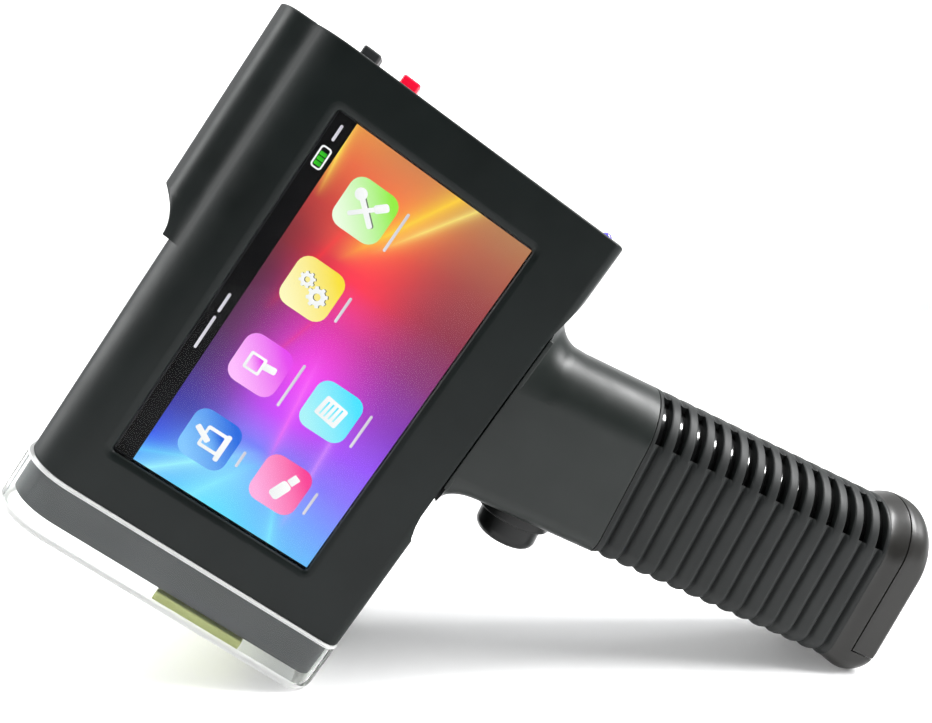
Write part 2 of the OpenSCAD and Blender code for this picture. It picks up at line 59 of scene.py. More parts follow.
joint_axis = {j["name"]: Vector(j["axis"]).normalized() for j in frame["joints"]}
axis_y = -joint_axis["dust_cap_slide"]
axis_z = joint_axis["encoder_spin"]
axis_x = axis_y.cross(axis_z)
turn = Matrix((axis_x, axis_y, axis_z)).transposed()
panel = [turn.transposed() @ v.co for v in nodes["lcd_panel"].data.vertices]
panel_low = Vector(min(p[i] for p in panel) for i in range(3))
origin = turn @ (panel_low - MM * PANEL_CORNER)
PRINTER = Matrix.Translation(origin) @ turn.to_4x4() @ Matrix.Scale(MM, 4)
GRIP = PRINTER @ Matrix.Translation(GRIP_ROOT) @ Matrix.Rotation(GRIP_TILT, 4, "Z")

# ---------------------------------------------------------------- sizes, in millimetres
LEFT, RIGHT, PRINT_END, REAR = -17.5, 71.5, -13.0, 107.9
FACE, SEAM, BACK, WALL = 1.2, -9.0, -52.0, 3.0
DISPLAY_W, DISPLAY_L = 53.9, 95.0
BASE_DEPTH, BASE_INSET = 10.7, 0.9
CAP_DEPTH, CAP_WALL, CAP_OUTSET, PAD_T = 15.5, 1.3, 0.8, 2.7
MID = -20.5
CARTRIDGE_X = 38.5
WHEEL = (14.0, PRINT_END - BASE_DEPTH - 1.5 + 9.0, -26.0)
GRIP_LOW, GRIP_TOP, GRIP_HALF = -25.2, 20.5, 15.5
COLLAR_LOW, COLLAR_TOP, COLLAR_HALF = -26.3, 22.9, 16.1
SLEEVE_U, COLLAR_U, DOOR_U, END_U = 37.2, 108.3, 113.0, 120.5
DOOR_LOW = -19.6
CORE_INSET = 2.0
GROOVES, FIRST_GROOVE, PITCH = 14, 39.6, 5.12
TRIGGER_U, TRIGGER_R, TRIGGER_H = 17.8, 8.8, 10.8
BUTTON_Z, BUTTON_W, BUTTON_H = -14.0, 4.9, 4.1
SCREWS = [(64.2, -6.2), (64.2, 100.6), (-10.5, 100.6), (-10.5, -6.2)]
GRIP_SCREWS = [(8, 9), (31, 9), (31, -15)]
POST_R, SCREW_R, SEAT_R = 3.6, 1.5, 2.8
BASE_SCREWS_X, BASE_SCREWS_Z = (-8, 62), -40
BLACK_KEY_X, RED_KEY_X = -3.1, 8.2
LED, LED_R = (67.4, -6.2), 1.65
DOOR_PIN = (54.5, -50.5)


# ---------------------------------------------------------------- mesh tools
def new_object(name, verts, faces):
    mesh = bpy.data.meshes.new(name)
    mesh.from_pydata([tuple(map(float, v)) for v in verts], [], [tuple(f) for f in faces])
    mesh.validate()
    bm = bmesh.new()
    bm.from_mesh(mesh)
    bmesh.ops.recalc_face_normals(bm, faces=bm.faces)
    bm.to_mesh(mesh)
    bm.free()
    obj = bpy.data.objects.new(name, mesh)
    scene.collection.objects.link(obj)
    return obj


def apply_modifiers(obj):
    depsgraph = bpy.context.evaluated_depsgraph_get()
    mesh = bpy.data.meshes.new_from_object(obj.evaluated_get(depsgraph))
    obj.modifiers.clear()
    obj.data = mesh


def carve(obj, *cutters, operation="DIFFERENCE"):
    """Cuts the cutters out of obj, or joins them to it, and removes them."""
    for cutter in cutters:
        m = obj.modifiers.new("cut", "BOOLEAN")
        m.operation, m.solver, m.object = operation, "EXACT", cutter
    apply_modifiers(obj)
    for cutter in cutters:
        bpy.data.objects.remove(cutter)
    return obj


def soften(obj, width):
    """Rounds the edges of obj that are sharper than 60 degrees."""
    m = obj.modifiers.new("edge", "BEVEL")
    m.width, m.segments, m.limit_method = width, 2, "ANGLE"
    m.angle_limit = math.radians(60)
    m.miter_outer = "MITER_ARC"
    apply_modifiers(obj)


def shade(obj, angle=38):
    obj.data.shade_smooth()
    obj.data.set_sharp_from_angle(angle=math.radians(angle))
    m = obj.modifiers.new("normals", "WEIGHTED_NORMAL")
    m.keep_sharp, m.weight = True, 60
    apply_modifiers(obj)


def place(obj, body, materials, replaced=(), axes=None, angle=38):
    """Shades obj, turns it from millimetres into the row frame and hands it to the frame."""
    shade(obj, angle)
    obj.data.transform(PRINTER if axes is None else axes)
    for material in materials if isinstance(materials, (list, tuple)) else [materials]:
        obj.data.materials.append(material)
    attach(obj, body)
    if replaced:
        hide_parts(*replaced)
    return obj


def quad(i, j, n, base=0):
    """Corners of the face at place j between ring i and the next one, in rings of n points."""
    k = (j + 1) % n
    low, high = base + i * n, base + (i + 1) * n
    return (low + j, low + k, high + k, high + j)


def rings_mesh(name, rings, close_ends=True):
    """A tube through rings of equal length, with its ends closed, or joined to each other."""
    n = len(rings[0])
    last = (len(rings) - 1) * n
    faces = [quad(i, j, n) for i in range(len(rings) - 1) for j in range(n)]
    if close_ends:
        faces.append(tuple(range(n)))
        faces.append(tuple(reversed(range(last, last + n))))
    else:
        faces += [(last + j, last + (j + 1) % n, (j + 1) % n, j) for j in range(n)]
    return new_object(name, np.concatenate([np.asarray(r, float) for r in rings]), faces)


def lift(profile, t, along):
    """Points of a flat profile, set at t on the axis that along names."""
    p = np.asarray(profile, float)
    third = np.full(len(p), float(t))
    if along == "y":
        return np.stack([p[:, 0], third, p[:, 1]], 1)
    if along == "u":
        return np.stack([third, p[:, 0], p[:, 1]], 1)
    return np.stack([p[:, 0], p[:, 1], third], 1)


def sweep(name, profile, t0, t1, round0=0.0, round1=0.0, along="y", steps=4):
    """A bar with a profile(inset), whose end edges are rounded by round0 and round1."""
    rings = []
    for k in range(steps + 1 if round0 else 1):
        a = math.pi / 2 * (k / steps if round0 else 1)
        rings.append(lift(profile(round0 * (1 - math.sin(a))), t0 + round0 * (1 - math.cos(a)), along))
    for k in range(steps + 1 if round1 else 1):
        a = math.pi / 2 * (1 - (k / steps if round1 else 0))
        rings.append(lift(profile(round1 * (1 - math.sin(a))), t1 - round1 * (1 - math.cos(a)), along))
    return rings_mesh(name, rings)


def corner(cx, cy, rx, ry, start, steps):
    angles = np.radians(np.linspace(start, start + 90, steps + 1))
    return np.stack([cx + rx * np.cos(angles), cy + ry * np.sin(angles)], 1)


def outline(left, right, bottom, top, radii, inset=0.0, steps=8):
    """A rectangle with its own rounding (along x, along the other axis) at each corner, right top first."""
    parts = []
    signs = ((1, 1), (-1, 1), (-1, -1), (1, -1))
    for k, ((sx, sy), (rx, ry)) in enumerate(zip(signs, radii)):
        rx, ry = max(rx - inset, 0.05), max(ry - inset, 0.05)
        x = (right - inset - rx) if sx > 0 else (left + inset + rx)
        y = (top - inset - ry) if sy > 0 else (bottom + inset + ry)
        parts.append(corner(x, y, rx, ry, 90 * k, steps))
    return np.concatenate(parts)


def square(r):
    return [(r, r)] * 4


def box(name, low, high, r=0.0, steps=3):
    """A box, with all its edges rounded where r is given."""
    if r:
        return sweep(name, lambda i: outline(low[0], high[0], low[1], high[1], square(r), i, steps),
                     low[2], high[2], r, r, "z", steps)
    ring = [(low[0], low[1]), (high[0], low[1]), (high[0], high[1]), (low[0], high[1])]
    return rings_mesh(name, [lift(ring, z, "z") for z in (low[2], high[2])])


def disc_profile(cx, cy, r, steps=48):
    a = np.linspace(0, 2 * math.pi, steps, endpoint=False)
    return np.stack([cx + r * np.cos(a), cy + r * np.sin(a)], 1)


def rod(name, centre, r, t0, t1, along="z", steps=48):
    """A round bar. centre gives the two coordinates across it."""
    ring = disc_profile(centre[0], centre[1], r, steps)
    return rings_mesh(name, [lift(ring, t0, along), lift(ring, t1, along)])


def revolve(profile, steps=72):
    """Rings of a turned shape: profile is (radius, height), turned about the z axis."""
    a = np.linspace(0, 2 * math.pi, steps, endpoint=False)
    return [np.stack([max(r, 0.02) * np.cos(a), max(r, 0.02) * np.sin(a), np.full(steps, float(h))], 1)
            for r, h in profile]


# ---------------------------------------------------------------- material tools
class Nodes:
    """Short calls for building one material's node tree."""

    def __init__(self, name):
        self.material = bpy.data.materials.new(name)
        self.material.use_nodes = True
        self.tree = self.material.node_tree
        self.shader = self.tree.nodes["Principled BSDF"]
        self.coords = self.tree.nodes.new("ShaderNodeTexCoord")

    def link(self, source, target):
        self.tree.links.new(source, target)

    def node(self, kind, **inputs):
        n = self.tree.nodes.new(kind)
        for key, value in inputs.items():
            self.put(n.inputs[key.replace("_", " ")], value)
        return n

    def put(self, socket, value):
        if isinstance(value, bpy.types.NodeSocket):
            self.link(value, socket)
        else:
            socket.default_value = value

    def math(self, operation, a, b=0.0, clamp=False):
        n = self.tree.nodes.new("ShaderNodeMath")
        n.operation, n.use_clamp = operation, clamp
        self.put(n.inputs[0], a)
        self.put(n.inputs[1], b)
        return n.outputs[0]

    def noise(self, scale, detail=4.0, roughness=0.55, stretch=None):
        n = self.node("ShaderNodeTexNoise", Scale=scale, Detail=detail, Roughness=roughness)
        if stretch is None:
            self.link(self.coords.outputs["Object"], n.inputs["Vector"])
        else:
            m = self.node("ShaderNodeMapping", Vector=self.coords.outputs["Object"], Scale=stretch)
            self.link(m.outputs[0], n.inputs["Vector"])
        return n.outputs["Fac"]

    def ramp(self, factor, stops):
        n = self.tree.nodes.new("ShaderNodeValToRGB")
        while len(n.color_ramp.elements) < len(stops):
            n.color_ramp.elements.new(0.5)
        for element, (at, colour) in zip(n.color_ramp.elements, stops):
            element.position = at
            element.color = (*colour, 1)
        self.link(factor, n.inputs["Fac"])
        return n.outputs["Color"]

    def span(self, value, low, high):
        n = self.node("ShaderNodeMapRange", Value=value)
        n.inputs["From Min"].default_value, n.inputs["From Max"].default_value = 0.3, 0.7
        n.inputs["To Min"].default_value, n.inputs["To Max"].default_value = low, high
        return n.outputs["Result"]

    def mix(self, factor, a, b):
        n = self.tree.nodes.new("ShaderNodeMix")
        n.data_type = "RGBA"
        self.put(n.inputs[0], factor)
        self.put(n.inputs[6], a if isinstance(a, bpy.types.NodeSocket) else (*a, 1))
        self.put(n.inputs[7], b if isinstance(b, bpy.types.NodeSocket) else (*b, 1))
        return n.outputs[2]

    def bump(self, height, strength, distance):
        n = self.node("ShaderNodeBump", Height=height, Strength=strength, Distance=distance)
        self.link(n.outputs["Normal"], self.shader.inputs["Normal"])

    def set(self, **inputs):
        for key, value in inputs.items():
            self.put(self.shader.inputs[key.replace("_", " ")], value)


def rgb(r, g, b):
    """A colour given as a screen shows it, from 0 to 255, as linear light."""
    def linear(c):
        c /= 255
        return c / 12.92 if c <= 0.04045 else ((c + 0.055) / 1.055) ** 2.4
    return (linear(r), linear(g), linear(b))


def moulded(name, dark, light, rough, grain=2600.0, depth=0.00002, coat=0.0, specular=0.5):
    """Moulded plastic or rubber: a fine grain, cloudy colour, and uneven roughness."""
    n = Nodes(name)
    cloud = n.noise(38.0, 5.0)
    n.set(Base_Color=n.ramp(cloud, [(0.3, rgb(*dark)), (0.7, rgb(*light))]))
    n.set(Roughness=n.span(n.noise(120.0, 3.0), rough[0], rough[1]))
    n.set(Specular_IOR_Level=specular, Coat_Weight=coat, Coat_Roughness=0.1)
    n.bump(n.noise(grain, 2.0), 0.35, depth)
    return n.material


def metal(name, dark, light, rough, brushed=None):
    """Metal with fine scratches, brushed one way where brushed stretches the noise."""
    n = Nodes(name)
    scratch = n.noise(900.0, 3.0, stretch=brushed or (1, 1, 1))
    n.set(Base_Color=n.ramp(scratch, [(0.3, rgb(*dark)), (0.7, rgb(*light))]), Metallic=1.0)
    n.set(Roughness=n.span(scratch, rough[0], rough[1]))
    n.bump(scratch, 0.2, 0.00001)
    return n.material


def clear(name, tint, rough, ior, specular=0.5, transmission=1.0):
    """Clear plastic or glass with a faint haze of handling marks."""
    n = Nodes(name)
    haze = n.noise(160.0, 5.0, 0.7)
    n.set(Base_Color=tint + (1,), Transmission_Weight=transmission, IOR=ior)
    n.set(Specular_IOR_Level=specular, Roughness=n.span(haze, rough[0], rough[1]))
    return n.material


casing = moulded("casing plastic", (13, 18, 17), (18, 24, 23), (0.38, 0.46), specular=0.22)
back_plastic = moulded("back plastic", (15, 17, 17), (21, 24, 23), (0.40, 0.48), specular=0.3)
grip_plastic = moulded("grip plastic", (22, 27, 25), (29, 34, 32), (0.34, 0.42), specular=0.34)
core_gloss = moulded("gloss core", (12, 12, 12), (18, 18, 18), (0.08, 0.14), 900.0, 0.000005, 0.6)
rubber = moulded("grip rubber", (16, 19, 19), (23, 26, 25), (0.46, 0.56), 1900.0, 0.00002, specular=0.3)
collar_plastic = moulded("collar plastic", (31, 30, 28), (39, 38, 36), (0.32, 0.42), specular=0.35)
base_paint = moulded("base paint", (80, 81, 83), (90, 91, 93), (0.38, 0.5), 1800.0, 0.000003,
                     specular=0.35)
clear_plastic = clear("clear cap", (0.96, 0.975, 0.96), (0.01, 0.06), 1.16, 0.6)
lens_glass = clear("lens glass", (0.99, 0.99, 0.99), (0.0, 0.02), 1.12, 0.2)
# Frosted white for the cap's rim and closed edge: painted highlight lines along these edges.
frosted_edge_highlight = clear("frosted edge highlight", (0.98, 0.985, 0.97), (0.35, 0.5), 1.16, transmission=0.45)
seal_foam = moulded("seal foam", (206, 212, 140), (222, 228, 164), (0.7, 0.85), 1200.0, 0.00012)
trigger_gloss = moulded("trigger plastic", (9, 10, 10), (14, 15, 15), (0.28, 0.38), specular=0.3)
dark_parts = moulded("black parts", (24, 25, 26), (34, 35, 36), (0.45, 0.6))
key_black = moulded("black key", (40, 42, 43), (56, 58, 59), (0.4, 0.5))
key_red = moulded("red key", (236, 8, 44), (250, 22, 60), (0.22, 0.32), coat=0.3)
# Painted light: the red key glows a little, so it stays bright on its shaded side.
red_glow_inputs = key_red.node_tree.nodes["Principled BSDF"].inputs
red_glow_inputs["Emission Color"].default_value = (*rgb(236, 4, 50), 1)
red_glow_inputs["Emission Strength"].default_value = 0.55
led_dome = moulded("led dome", (50, 34, 200), (72, 54, 222), (0.12, 0.2), coat=0.5)
bare_steel = metal("screw steel", (150, 152, 155), (196, 198, 200), (0.22, 0.38))
sheet_steel = metal("sheet steel", (168, 170, 172), (204, 206, 208), (0.25, 0.42), (1, 1, 14))
axle_steel = metal("axle steel", (170, 172, 175), (214, 216, 218), (0.14, 0.24), (1, 12, 1))
brass = metal("gold contacts", (190, 150, 70), (226, 190, 110), (0.2, 0.34))
board_green = moulded("board", (16, 66, 38), (26, 92, 54), (0.3, 0.42), 500.0, 0.00002, 0.3)
cartridge_black = moulded("cartridge shell", (18, 19, 22), (27, 28, 32), (0.32, 0.44))
cradle_grey = moulded("cradle", (56, 58, 61), (70, 72, 75), (0.45, 0.58))
hub_grey = moulded("hub", (64, 67, 71), (82, 85, 89), (0.4, 0.52))
tyre_rubber = moulded("tyre", (20, 20, 21), (31, 31, 32), (0.62, 0.78), 1500.0, 0.00005)
cell_skin = moulded("cell skin", (48, 96, 166), (66, 118, 190), (0.28, 0.4), coat=0.3)
wrap_film = moulded("wrap film", (28, 74, 152), (42, 94, 178), (0.2, 0.32), coat=0.5)
lcd_side = moulded("display frame", (30, 31, 34), (42, 43, 47), (0.35, 0.5))


# ---------------------------------------------------------------- casing
CASING_FRONT = [(3, 3), (14.5, 9.5), (0.4, 0.4), (0.4, 0.4)]
CASING_BACK = [(0.4, 0.4), (0.4, 0.4), (8, 8), (8, 8)]
CASING_WHOLE = [(3, 3), (14.5, 9.5), (8, 8), (8, 8)]


def casing_whole(inset):
    return outline(LEFT, RIGHT, BACK, FACE, CASING_WHOLE, inset, 12)


def front_cover():
    cover = sweep("front_cover_shell", lambda i: outline(LEFT, RIGHT, SEAM, FACE, CASING_FRONT, i, 12),
                  PRINT_END, REAR, 0.5, 0.7)
    inside = sweep("inside", lambda i: casing_whole(WALL + i), PRINT_END + WALL, REAR - WALL)
    pocket = box("pocket", (-6.3, -5.3, SEAM - 1), (60.3, 100.3, 0))
    # The window's lip slopes outward in a soft curve.
    lip = [(-2, 0.2), (0.2, 0.2), (0.6, 0.4), (0.9, 0.8), (1.08, 1.3), (1.17, 1.8), (1.2, 2.2), (1.6, 3.2)]
    rings = [lift(outline(-e, DISPLAY_W + e, -e, DISPLAY_L + e, square(0.8 + e)), z, "z") for z, e in lip]
    window = rings_mesh("window", rings)
    relief_plan = [(80, 93.5), (71.4, 92.5), (71.0, 90), (70.4, 86.5), (69.7, 83), (69.3, 80), (69.2, 60),
                   (69.2, 28), (69.7, 24.5), (70.6, 21.5), (71.2, 20), (80, 19)]
    relief = rings_mesh("relief", [lift(relief_plan, z, "z") for z in (SEAM - 1, FACE + 1)])
    led_hole = rod("led hole", LED, LED_R + 0.1, REAR - 3.9, REAR + 2.1, "y")
    bores = [rod("bore", p, 1.25, SEAM - 1, -3, steps=20) for p in SCREWS]
    posts = [rod("post", p, POST_R, SEAM + 0.02, -1.8 if p[0] > 0 else -4.6) for p in SCREWS]
    carve(cover, inside)
    carve(cover, *posts, operation="UNION")
    carve(cover, pocket, window, relief, led_hole, *bores)
    place(cover, "printer", casing, ["front_cover"])


def back_casing():
    shell = sweep("back_casing_shell", lambda i: outline(LEFT, RIGHT, BACK, SEAM - 0.05, CASING_BACK, i, 10),
                  PRINT_END, REAR, 0.5, 0.7)
    corners = [(1, 1), (1, 1), (5, 5), (5, 5)]
    inside = sweep("inside", lambda i: outline(LEFT + WALL, RIGHT - WALL, BACK + WALL, 5, corners, i),
                   PRINT_END + WALL, REAR - WALL)
    carve(shell, inside)
    posts = [rod("post", p, POST_R, BACK + 2.5, SEAM - 0.1) for p in SCREWS]
    carve(shell, *posts, operation="UNION")
    cutters = [
        box("print opening", (-4, PRINT_END - 1, -46), (58, PRINT_END + WALL + 1, -13)),
        box("port opening", (LEFT - 1, 64, -40), (LEFT + WALL + 1, 98, -16)),
        rod("lead passage", (60, MID), 6, RIGHT - WALL - 1, RIGHT + 1, "u"),
        box("door opening", (22, -6, BACK - 1), (56.4, 60, BACK + WALL + 0.5)),
        rod("pin bore", DOOR_PIN, 0.75, -8.4, 62.4, "y", 24),
    ]
    half = BUTTON_W / 2 + 0.3
    for x in (BLACK_KEY_X, RED_KEY_X):
        cutters.append(box("key hole", (x - half, REAR - 5, BUTTON_Z - half),
                           (x + half, REAR + 1, BUTTON_Z + half)))
    for p in SCREWS:
        cutters.append(rod("counterbore", p, SEAT_R, BACK - 1, BACK + 6))
        cutters.append(rod("bore", p, SCREW_R, BACK, SEAM + 1, steps=24))
    carve(shell, *cutters)
    place(shell, "printer", back_plastic, ["back_casing"])


# ---------------------------------------------------------------- port housing
BAY_LEFT, BAY_END, BAY_HOLLOW_R = -26.0, 48.5, 9.7
BAY_POINTS = [(-9, -49), (-9, -0.3), (-12.4, -1.09), (-15.4, -2.78), (-21.8, -4.1), (BAY_LEFT, -9.6),
              (BAY_LEFT, -49)]
BAY_RADII = [0.1, 0.1, 0.1, 16.0, 8.0, 8.0, 5.0]


def filleted(points, radii, steps=6):
    """A polygon with each corner rounded by its own radius."""
    pts = [Vector(p) for p in points]
    out = []
    for k, p in enumerate(pts):
        before, after = pts[k - 1] - p, pts[(k + 1) % len(pts)] - p
        a, b = before.normalized(), after.normalized()
        reach = min(radii[k] / math.tan(a.angle(b) / 2), before.length * 0.48, after.length * 0.48)
        start, end = p + a * reach, p + b * reach
        for s in range(steps + 1):
            t = s / steps
            out.append(start * (1 - t) ** 2 + p * 2 * t * (1 - t) + end * t ** 2)
    return np.array([tuple(p) for p in out])


def port_housing():
    section = filleted(BAY_POINTS, BAY_RADII)
    middle = np.array([-9.0, -26.0])

    def ring(y, inset):
        """The housing's section at y, drawn in by inset, and cut by the hollow that ends it."""
        p = section.copy()
        out = p - middle
        p -= inset * out / np.linalg.norm(out, axis=1, keepdims=True)
        d = y - BAY_END
        if d < BAY_HOLLOW_R:
            edge = BAY_LEFT - 1.7 + math.sqrt(max(BAY_HOLLOW_R ** 2 - d ** 2, 0)) - 0.3
            soft = 0.7
            p[:, 0] = edge + soft * np.logaddexp(0, (p[:, 0] - edge) / soft)
        return lift(p, y, "y")

    ys = [BAY_END + 0.1 + BAY_HOLLOW_R * math.sin(math.pi / 2 * k / 20) for k in range(20)]
    ys += [BAY_END + BAY_HOLLOW_R + d for d in (0.15, 0.5, 1.2, 3)]
    rings = [ring(y, 0) for y in ys]
    for k in range(6):
        a = math.pi / 2 * k / 5
        rings.append(ring(REAR - 0.7 + 0.7 * math.sin(a), 0.7 * (1 - math.cos(a))))
    bay = rings_mesh("port_housing_shell", rings)
    body = sweep("body", lambda i: casing_whole(i - 0.02), PRINT_END - 1, REAR + 2)
    corners = [(0.1, 0.1), (4, 4), (4, 4), (0.1, 0.1)]
    room = sweep("room", lambda i: outline(BAY_LEFT + 2.2, -5, -46.8, -8, corners, i), 60.5, REAR - 2.2)
    usb = box("usb window", (BAY_LEFT - 1, 82.9, -31.3), (BAY_LEFT + 4, 97.1, -24.7))
    jack = rod("jack hole", (71, -28), 4.2, BAY_LEFT - 1, BAY_LEFT + 5, "u")
    carve(bay, body, room, usb, jack)
    place(bay, "printer", casing, ["port_housing"])


front_cover()
back_casing()
port_housing()


# ---------------------------------------------------------------- screen
TOP_OF_PANEL = -1.5
ROW_1, ROW_2, COLUMN, COLUMN_PITCH = 17.1, 37.0, 14.2, 21.95
MODULE = (-6, 60, -5, 100)              # left, right, print end and rear end of the lens
STATUS_BAR = 4.75                       # width of the black bar along the left side
GLYPH, SHADE, DETAIL = 0.05, 0.035, 0.06  # heights of the icons' layers


def stops(*rows):
    """Stops of a colour ramp, each given as place, red, green and blue."""
    return [(at, rgb(r, g, b)) for at, r, g, b in rows]


# Colours from the print end to the rear end, in the middle of the glow and on each side of it.
BRIGHT = stops((0.0, 100, 225, 255), (0.1, 120, 200, 255), (0.2, 120, 130, 252), (0.3, 205, 72, 252),
               (0.42, 245, 66, 245), (0.56, 225, 55, 170), (0.68, 255, 60, 84), (0.8, 255, 84, 76),
               (0.9, 250, 120, 76), (1.0, 214, 134, 84))
LEFT_SIDE = stops((0.0, 70, 150, 255), (0.08, 52, 76, 236), (0.18, 58, 52, 164), (0.3, 66, 52, 112),
                  (0.42, 70, 48, 72), (0.6, 74, 46, 54), (0.72, 110, 48, 54), (0.82, 180, 62, 60),
                  (0.92, 232, 104, 70), (1.0, 238, 150, 74))
RIGHT_SIDE = stops((0.0, 106, 190, 252), (0.1, 118, 156, 255), (0.2, 138, 120, 252), (0.3, 148, 86, 250),
                   (0.42, 130, 58, 190), (0.56, 136, 56, 126), (0.7, 142, 56, 80), (0.82, 160, 76, 76),
                   (0.92, 178, 104, 82), (1.0, 182, 128, 90))
STREAKS = [  # start across, bend, wave, width, low end, high end, strength, colour
    (-0.35, 0.94, 0.4, 0.05, 0.7, 1.12, 1.0, (255, 210, 66)),
    (-0.46, 1.14, 0.4, 0.02, 0.76, 1.12, 0.8, (255, 240, 130)),
    (0.062, 0.0, 3.0, 0.016, 0.8, 1.12, 1.0, (255, 232, 90)),
    (-0.02, 0.30, 2.0, 0.02, 0.5, 0.86, 0.6, (255, 58, 66)),
    (0.10, 0.42, 2.0, 0.014, 0.36, 0.7, 0.5, (240, 60, 130)),
    (0.62, -0.3, 1.0, 0.018, 0.14, 0.5, 0.6, (255, 120, 250)),
    (0.80, -0.2, 1.0, 0.014, 0.04, 0.42, 0.6, (226, 150, 255)),
    (-0.03, 3.8, 0.1, 0.05, -0.12, 0.2, 0.8, (90, 200, 255)),
    (0.16, 1.9, 0.1, 0.06, -0.12, 0.2, 0.9, (160, 246, 255)),
    (0.38, 1.0, 0.1, 0.04, -0.12, 0.18, 0.7, (140, 240, 255)),
    (0.79, -0.8, 0.1, 0.025, -0.12, 0.16, 0.8, (130, 236, 255)),
]


def sheet_mesh(name, width, length, z):
    """A flat sheet from the printer's origin, with one unit of UV along each side."""
    obj = new_object(name, [(0, 0, z), (width, 0, z), (0, length, z), (width, length, z)], [(0, 1, 3, 2)])
    uv = obj.data.uv_layers.new(name="UVMap")
    for loop in obj.data.loops:
        co = obj.data.vertices[loop.vertex_index].co
        uv.data[loop.index].uv = (co.x / width, co.y / length)
    return obj


def wallpaper_material():
    """Soft bands of light across the screen: warm at the rear end, blue at the print end."""
    n = Nodes("screen light")
    split = n.node("ShaderNodeSeparateXYZ", Vector=n.coords.outputs["UV"])
    u, v = split.outputs["X"], split.outputs["Y"]

    def times(a, b):
        return n.math("MULTIPLY", a, b)

    def wavy(base, wave, size):
        return n.math("ADD", base, times(n.math("SINE", times(v, wave)), size))

    def bell(x, power):
        return n.math("POWER", 2.718, times(n.math("POWER", x, power), -1.0))

    def distance(centre, width):
        return n.math("DIVIDE", n.math("ABSOLUTE", n.math("SUBTRACT", u, centre)), width)

    centre = wavy(0.48, 5.2, 0.05)
    across = n.math("ADD", times(n.math("SUBTRACT", u, centre), 2.0), 0.5, clamp=True)
    side = n.mix(across, n.ramp(v, LEFT_SIDE), n.ramp(v, RIGHT_SIDE))
    colour = n.mix(bell(distance(centre, 0.25), 2.0), side, n.ramp(v, BRIGHT))
    for base, bend, wave, width, low, high, gain, tint in STREAKS:
        line = wavy(n.math("ADD", base, times(v, bend)), wave, 0.08)
        rise = n.math("DIVIDE", n.math("SUBTRACT", v, low), 0.12, clamp=True)
        fall = n.math("DIVIDE", n.math("SUBTRACT", high, v), 0.12, clamp=True)
        amount = times(times(bell(distance(line, width), 1.0), gain), times(rise, fall))
        colour = n.mix(amount, colour, rgb(*tint))
    colour = n.mix(n.math("LESS_THAN", u, STATUS_BAR / DISPLAY_W), colour, rgb(6, 6, 7))
    n.set(Base_Color=(0.01, 0.01, 0.01, 1), Roughness=0.5, Specular_IOR_Level=0.0)
    n.set(Emission_Color=colour, Emission_Strength=1.0)
    return n.material


def lit(name, low, high):
    """Light of an icon on the screen, paler at one corner."""
    n = Nodes(name)
    split = n.node("ShaderNodeSeparateXYZ", Vector=n.coords.outputs["UV"])
    slope = n.math("SUBTRACT", split.outputs["Y"], split.outputs["X"])
    fade = n.math("MULTIPLY", n.math("ADD", slope, 1.0), 0.5)
    n.set(Base_Color=(0.01, 0.01, 0.01, 1), Roughness=0.5, Specular_IOR_Level=0.0)
    n.set(Emission_Color=n.ramp(fade, [(0.15, rgb(*low)), (0.85, rgb(*high))]), Emission_Strength=1.0)
    return n.material


class Drawing:
    """Flat shapes on the screen, each a thin plate. Across is to the rear end, up is to the left side."""

    def __init__(self):
        self.verts, self.faces, self.slots, self.uvs = [], [], [], []

    def plate(self, points, level, slot):
        base = len(self.verts)
        pts = np.asarray(points, float)
        low, size = pts.min(0), np.maximum(np.ptp(pts, axis=0), 1e-6)
        for a, b in pts:
            self.verts.append((-b, a, TOP_OF_PANEL + level))
            self.uvs.append(((a - low[0]) / size[0], (b - low[1]) / size[1]))
        self.faces.append(tuple(range(base, base + len(pts))))
        self.slots.append(slot)

    def strip(self, inner, outer, level, slot):
        """A ring between two outlines of equal length."""
        for k in range(len(inner)):
            m = (k + 1) % len(inner)
            self.plate([inner[k], outer[k], outer[m], inner[m]], level, slot)

    def object(self, name):
        mesh = bpy.data.meshes.new(name)
        mesh.from_pydata(self.verts, [], self.faces)
        uv = mesh.uv_layers.new(name="UVMap")
        for loop in mesh.loops:
            uv.data[loop.index].uv = self.uvs[loop.vertex_index]
        for polygon, slot in zip(mesh.polygons, self.slots):
            polygon.material_index = slot
        obj = bpy.data.objects.new(name, mesh)
        scene.collection.objects.link(obj)
        return obj


def spot(points, across, up, angle=0.0):
    """Points turned by angle, in degrees, and moved to a place on the screen."""
    c, s = math.cos(math.radians(angle)), math.sin(math.radians(angle))
    return [(across + a * c - b * s, up + a * s + b * c) for a, b in points]


def rounded_rect(w, h, r, steps=5):
    return [tuple(p) for p in outline(-w / 2, w / 2, -h / 2, h / 2, square(r), 0, steps)]


def cog(r, teeth, depth, steps=4):
    """Outline of a gear wheel."""
    count = teeth * steps * 2
    return [((r + depth * (k // steps % 2)) * math.cos(2 * math.pi * k / count),
             (r + depth * (k // steps % 2)) * math.sin(2 * math.pi * k / count)) for k in range(count)]


def circle(r, count):
    angles = [2 * math.pi * k / count for k in range(count)]
    return [(r * math.cos(t), r * math.sin(t)) for t in angles]


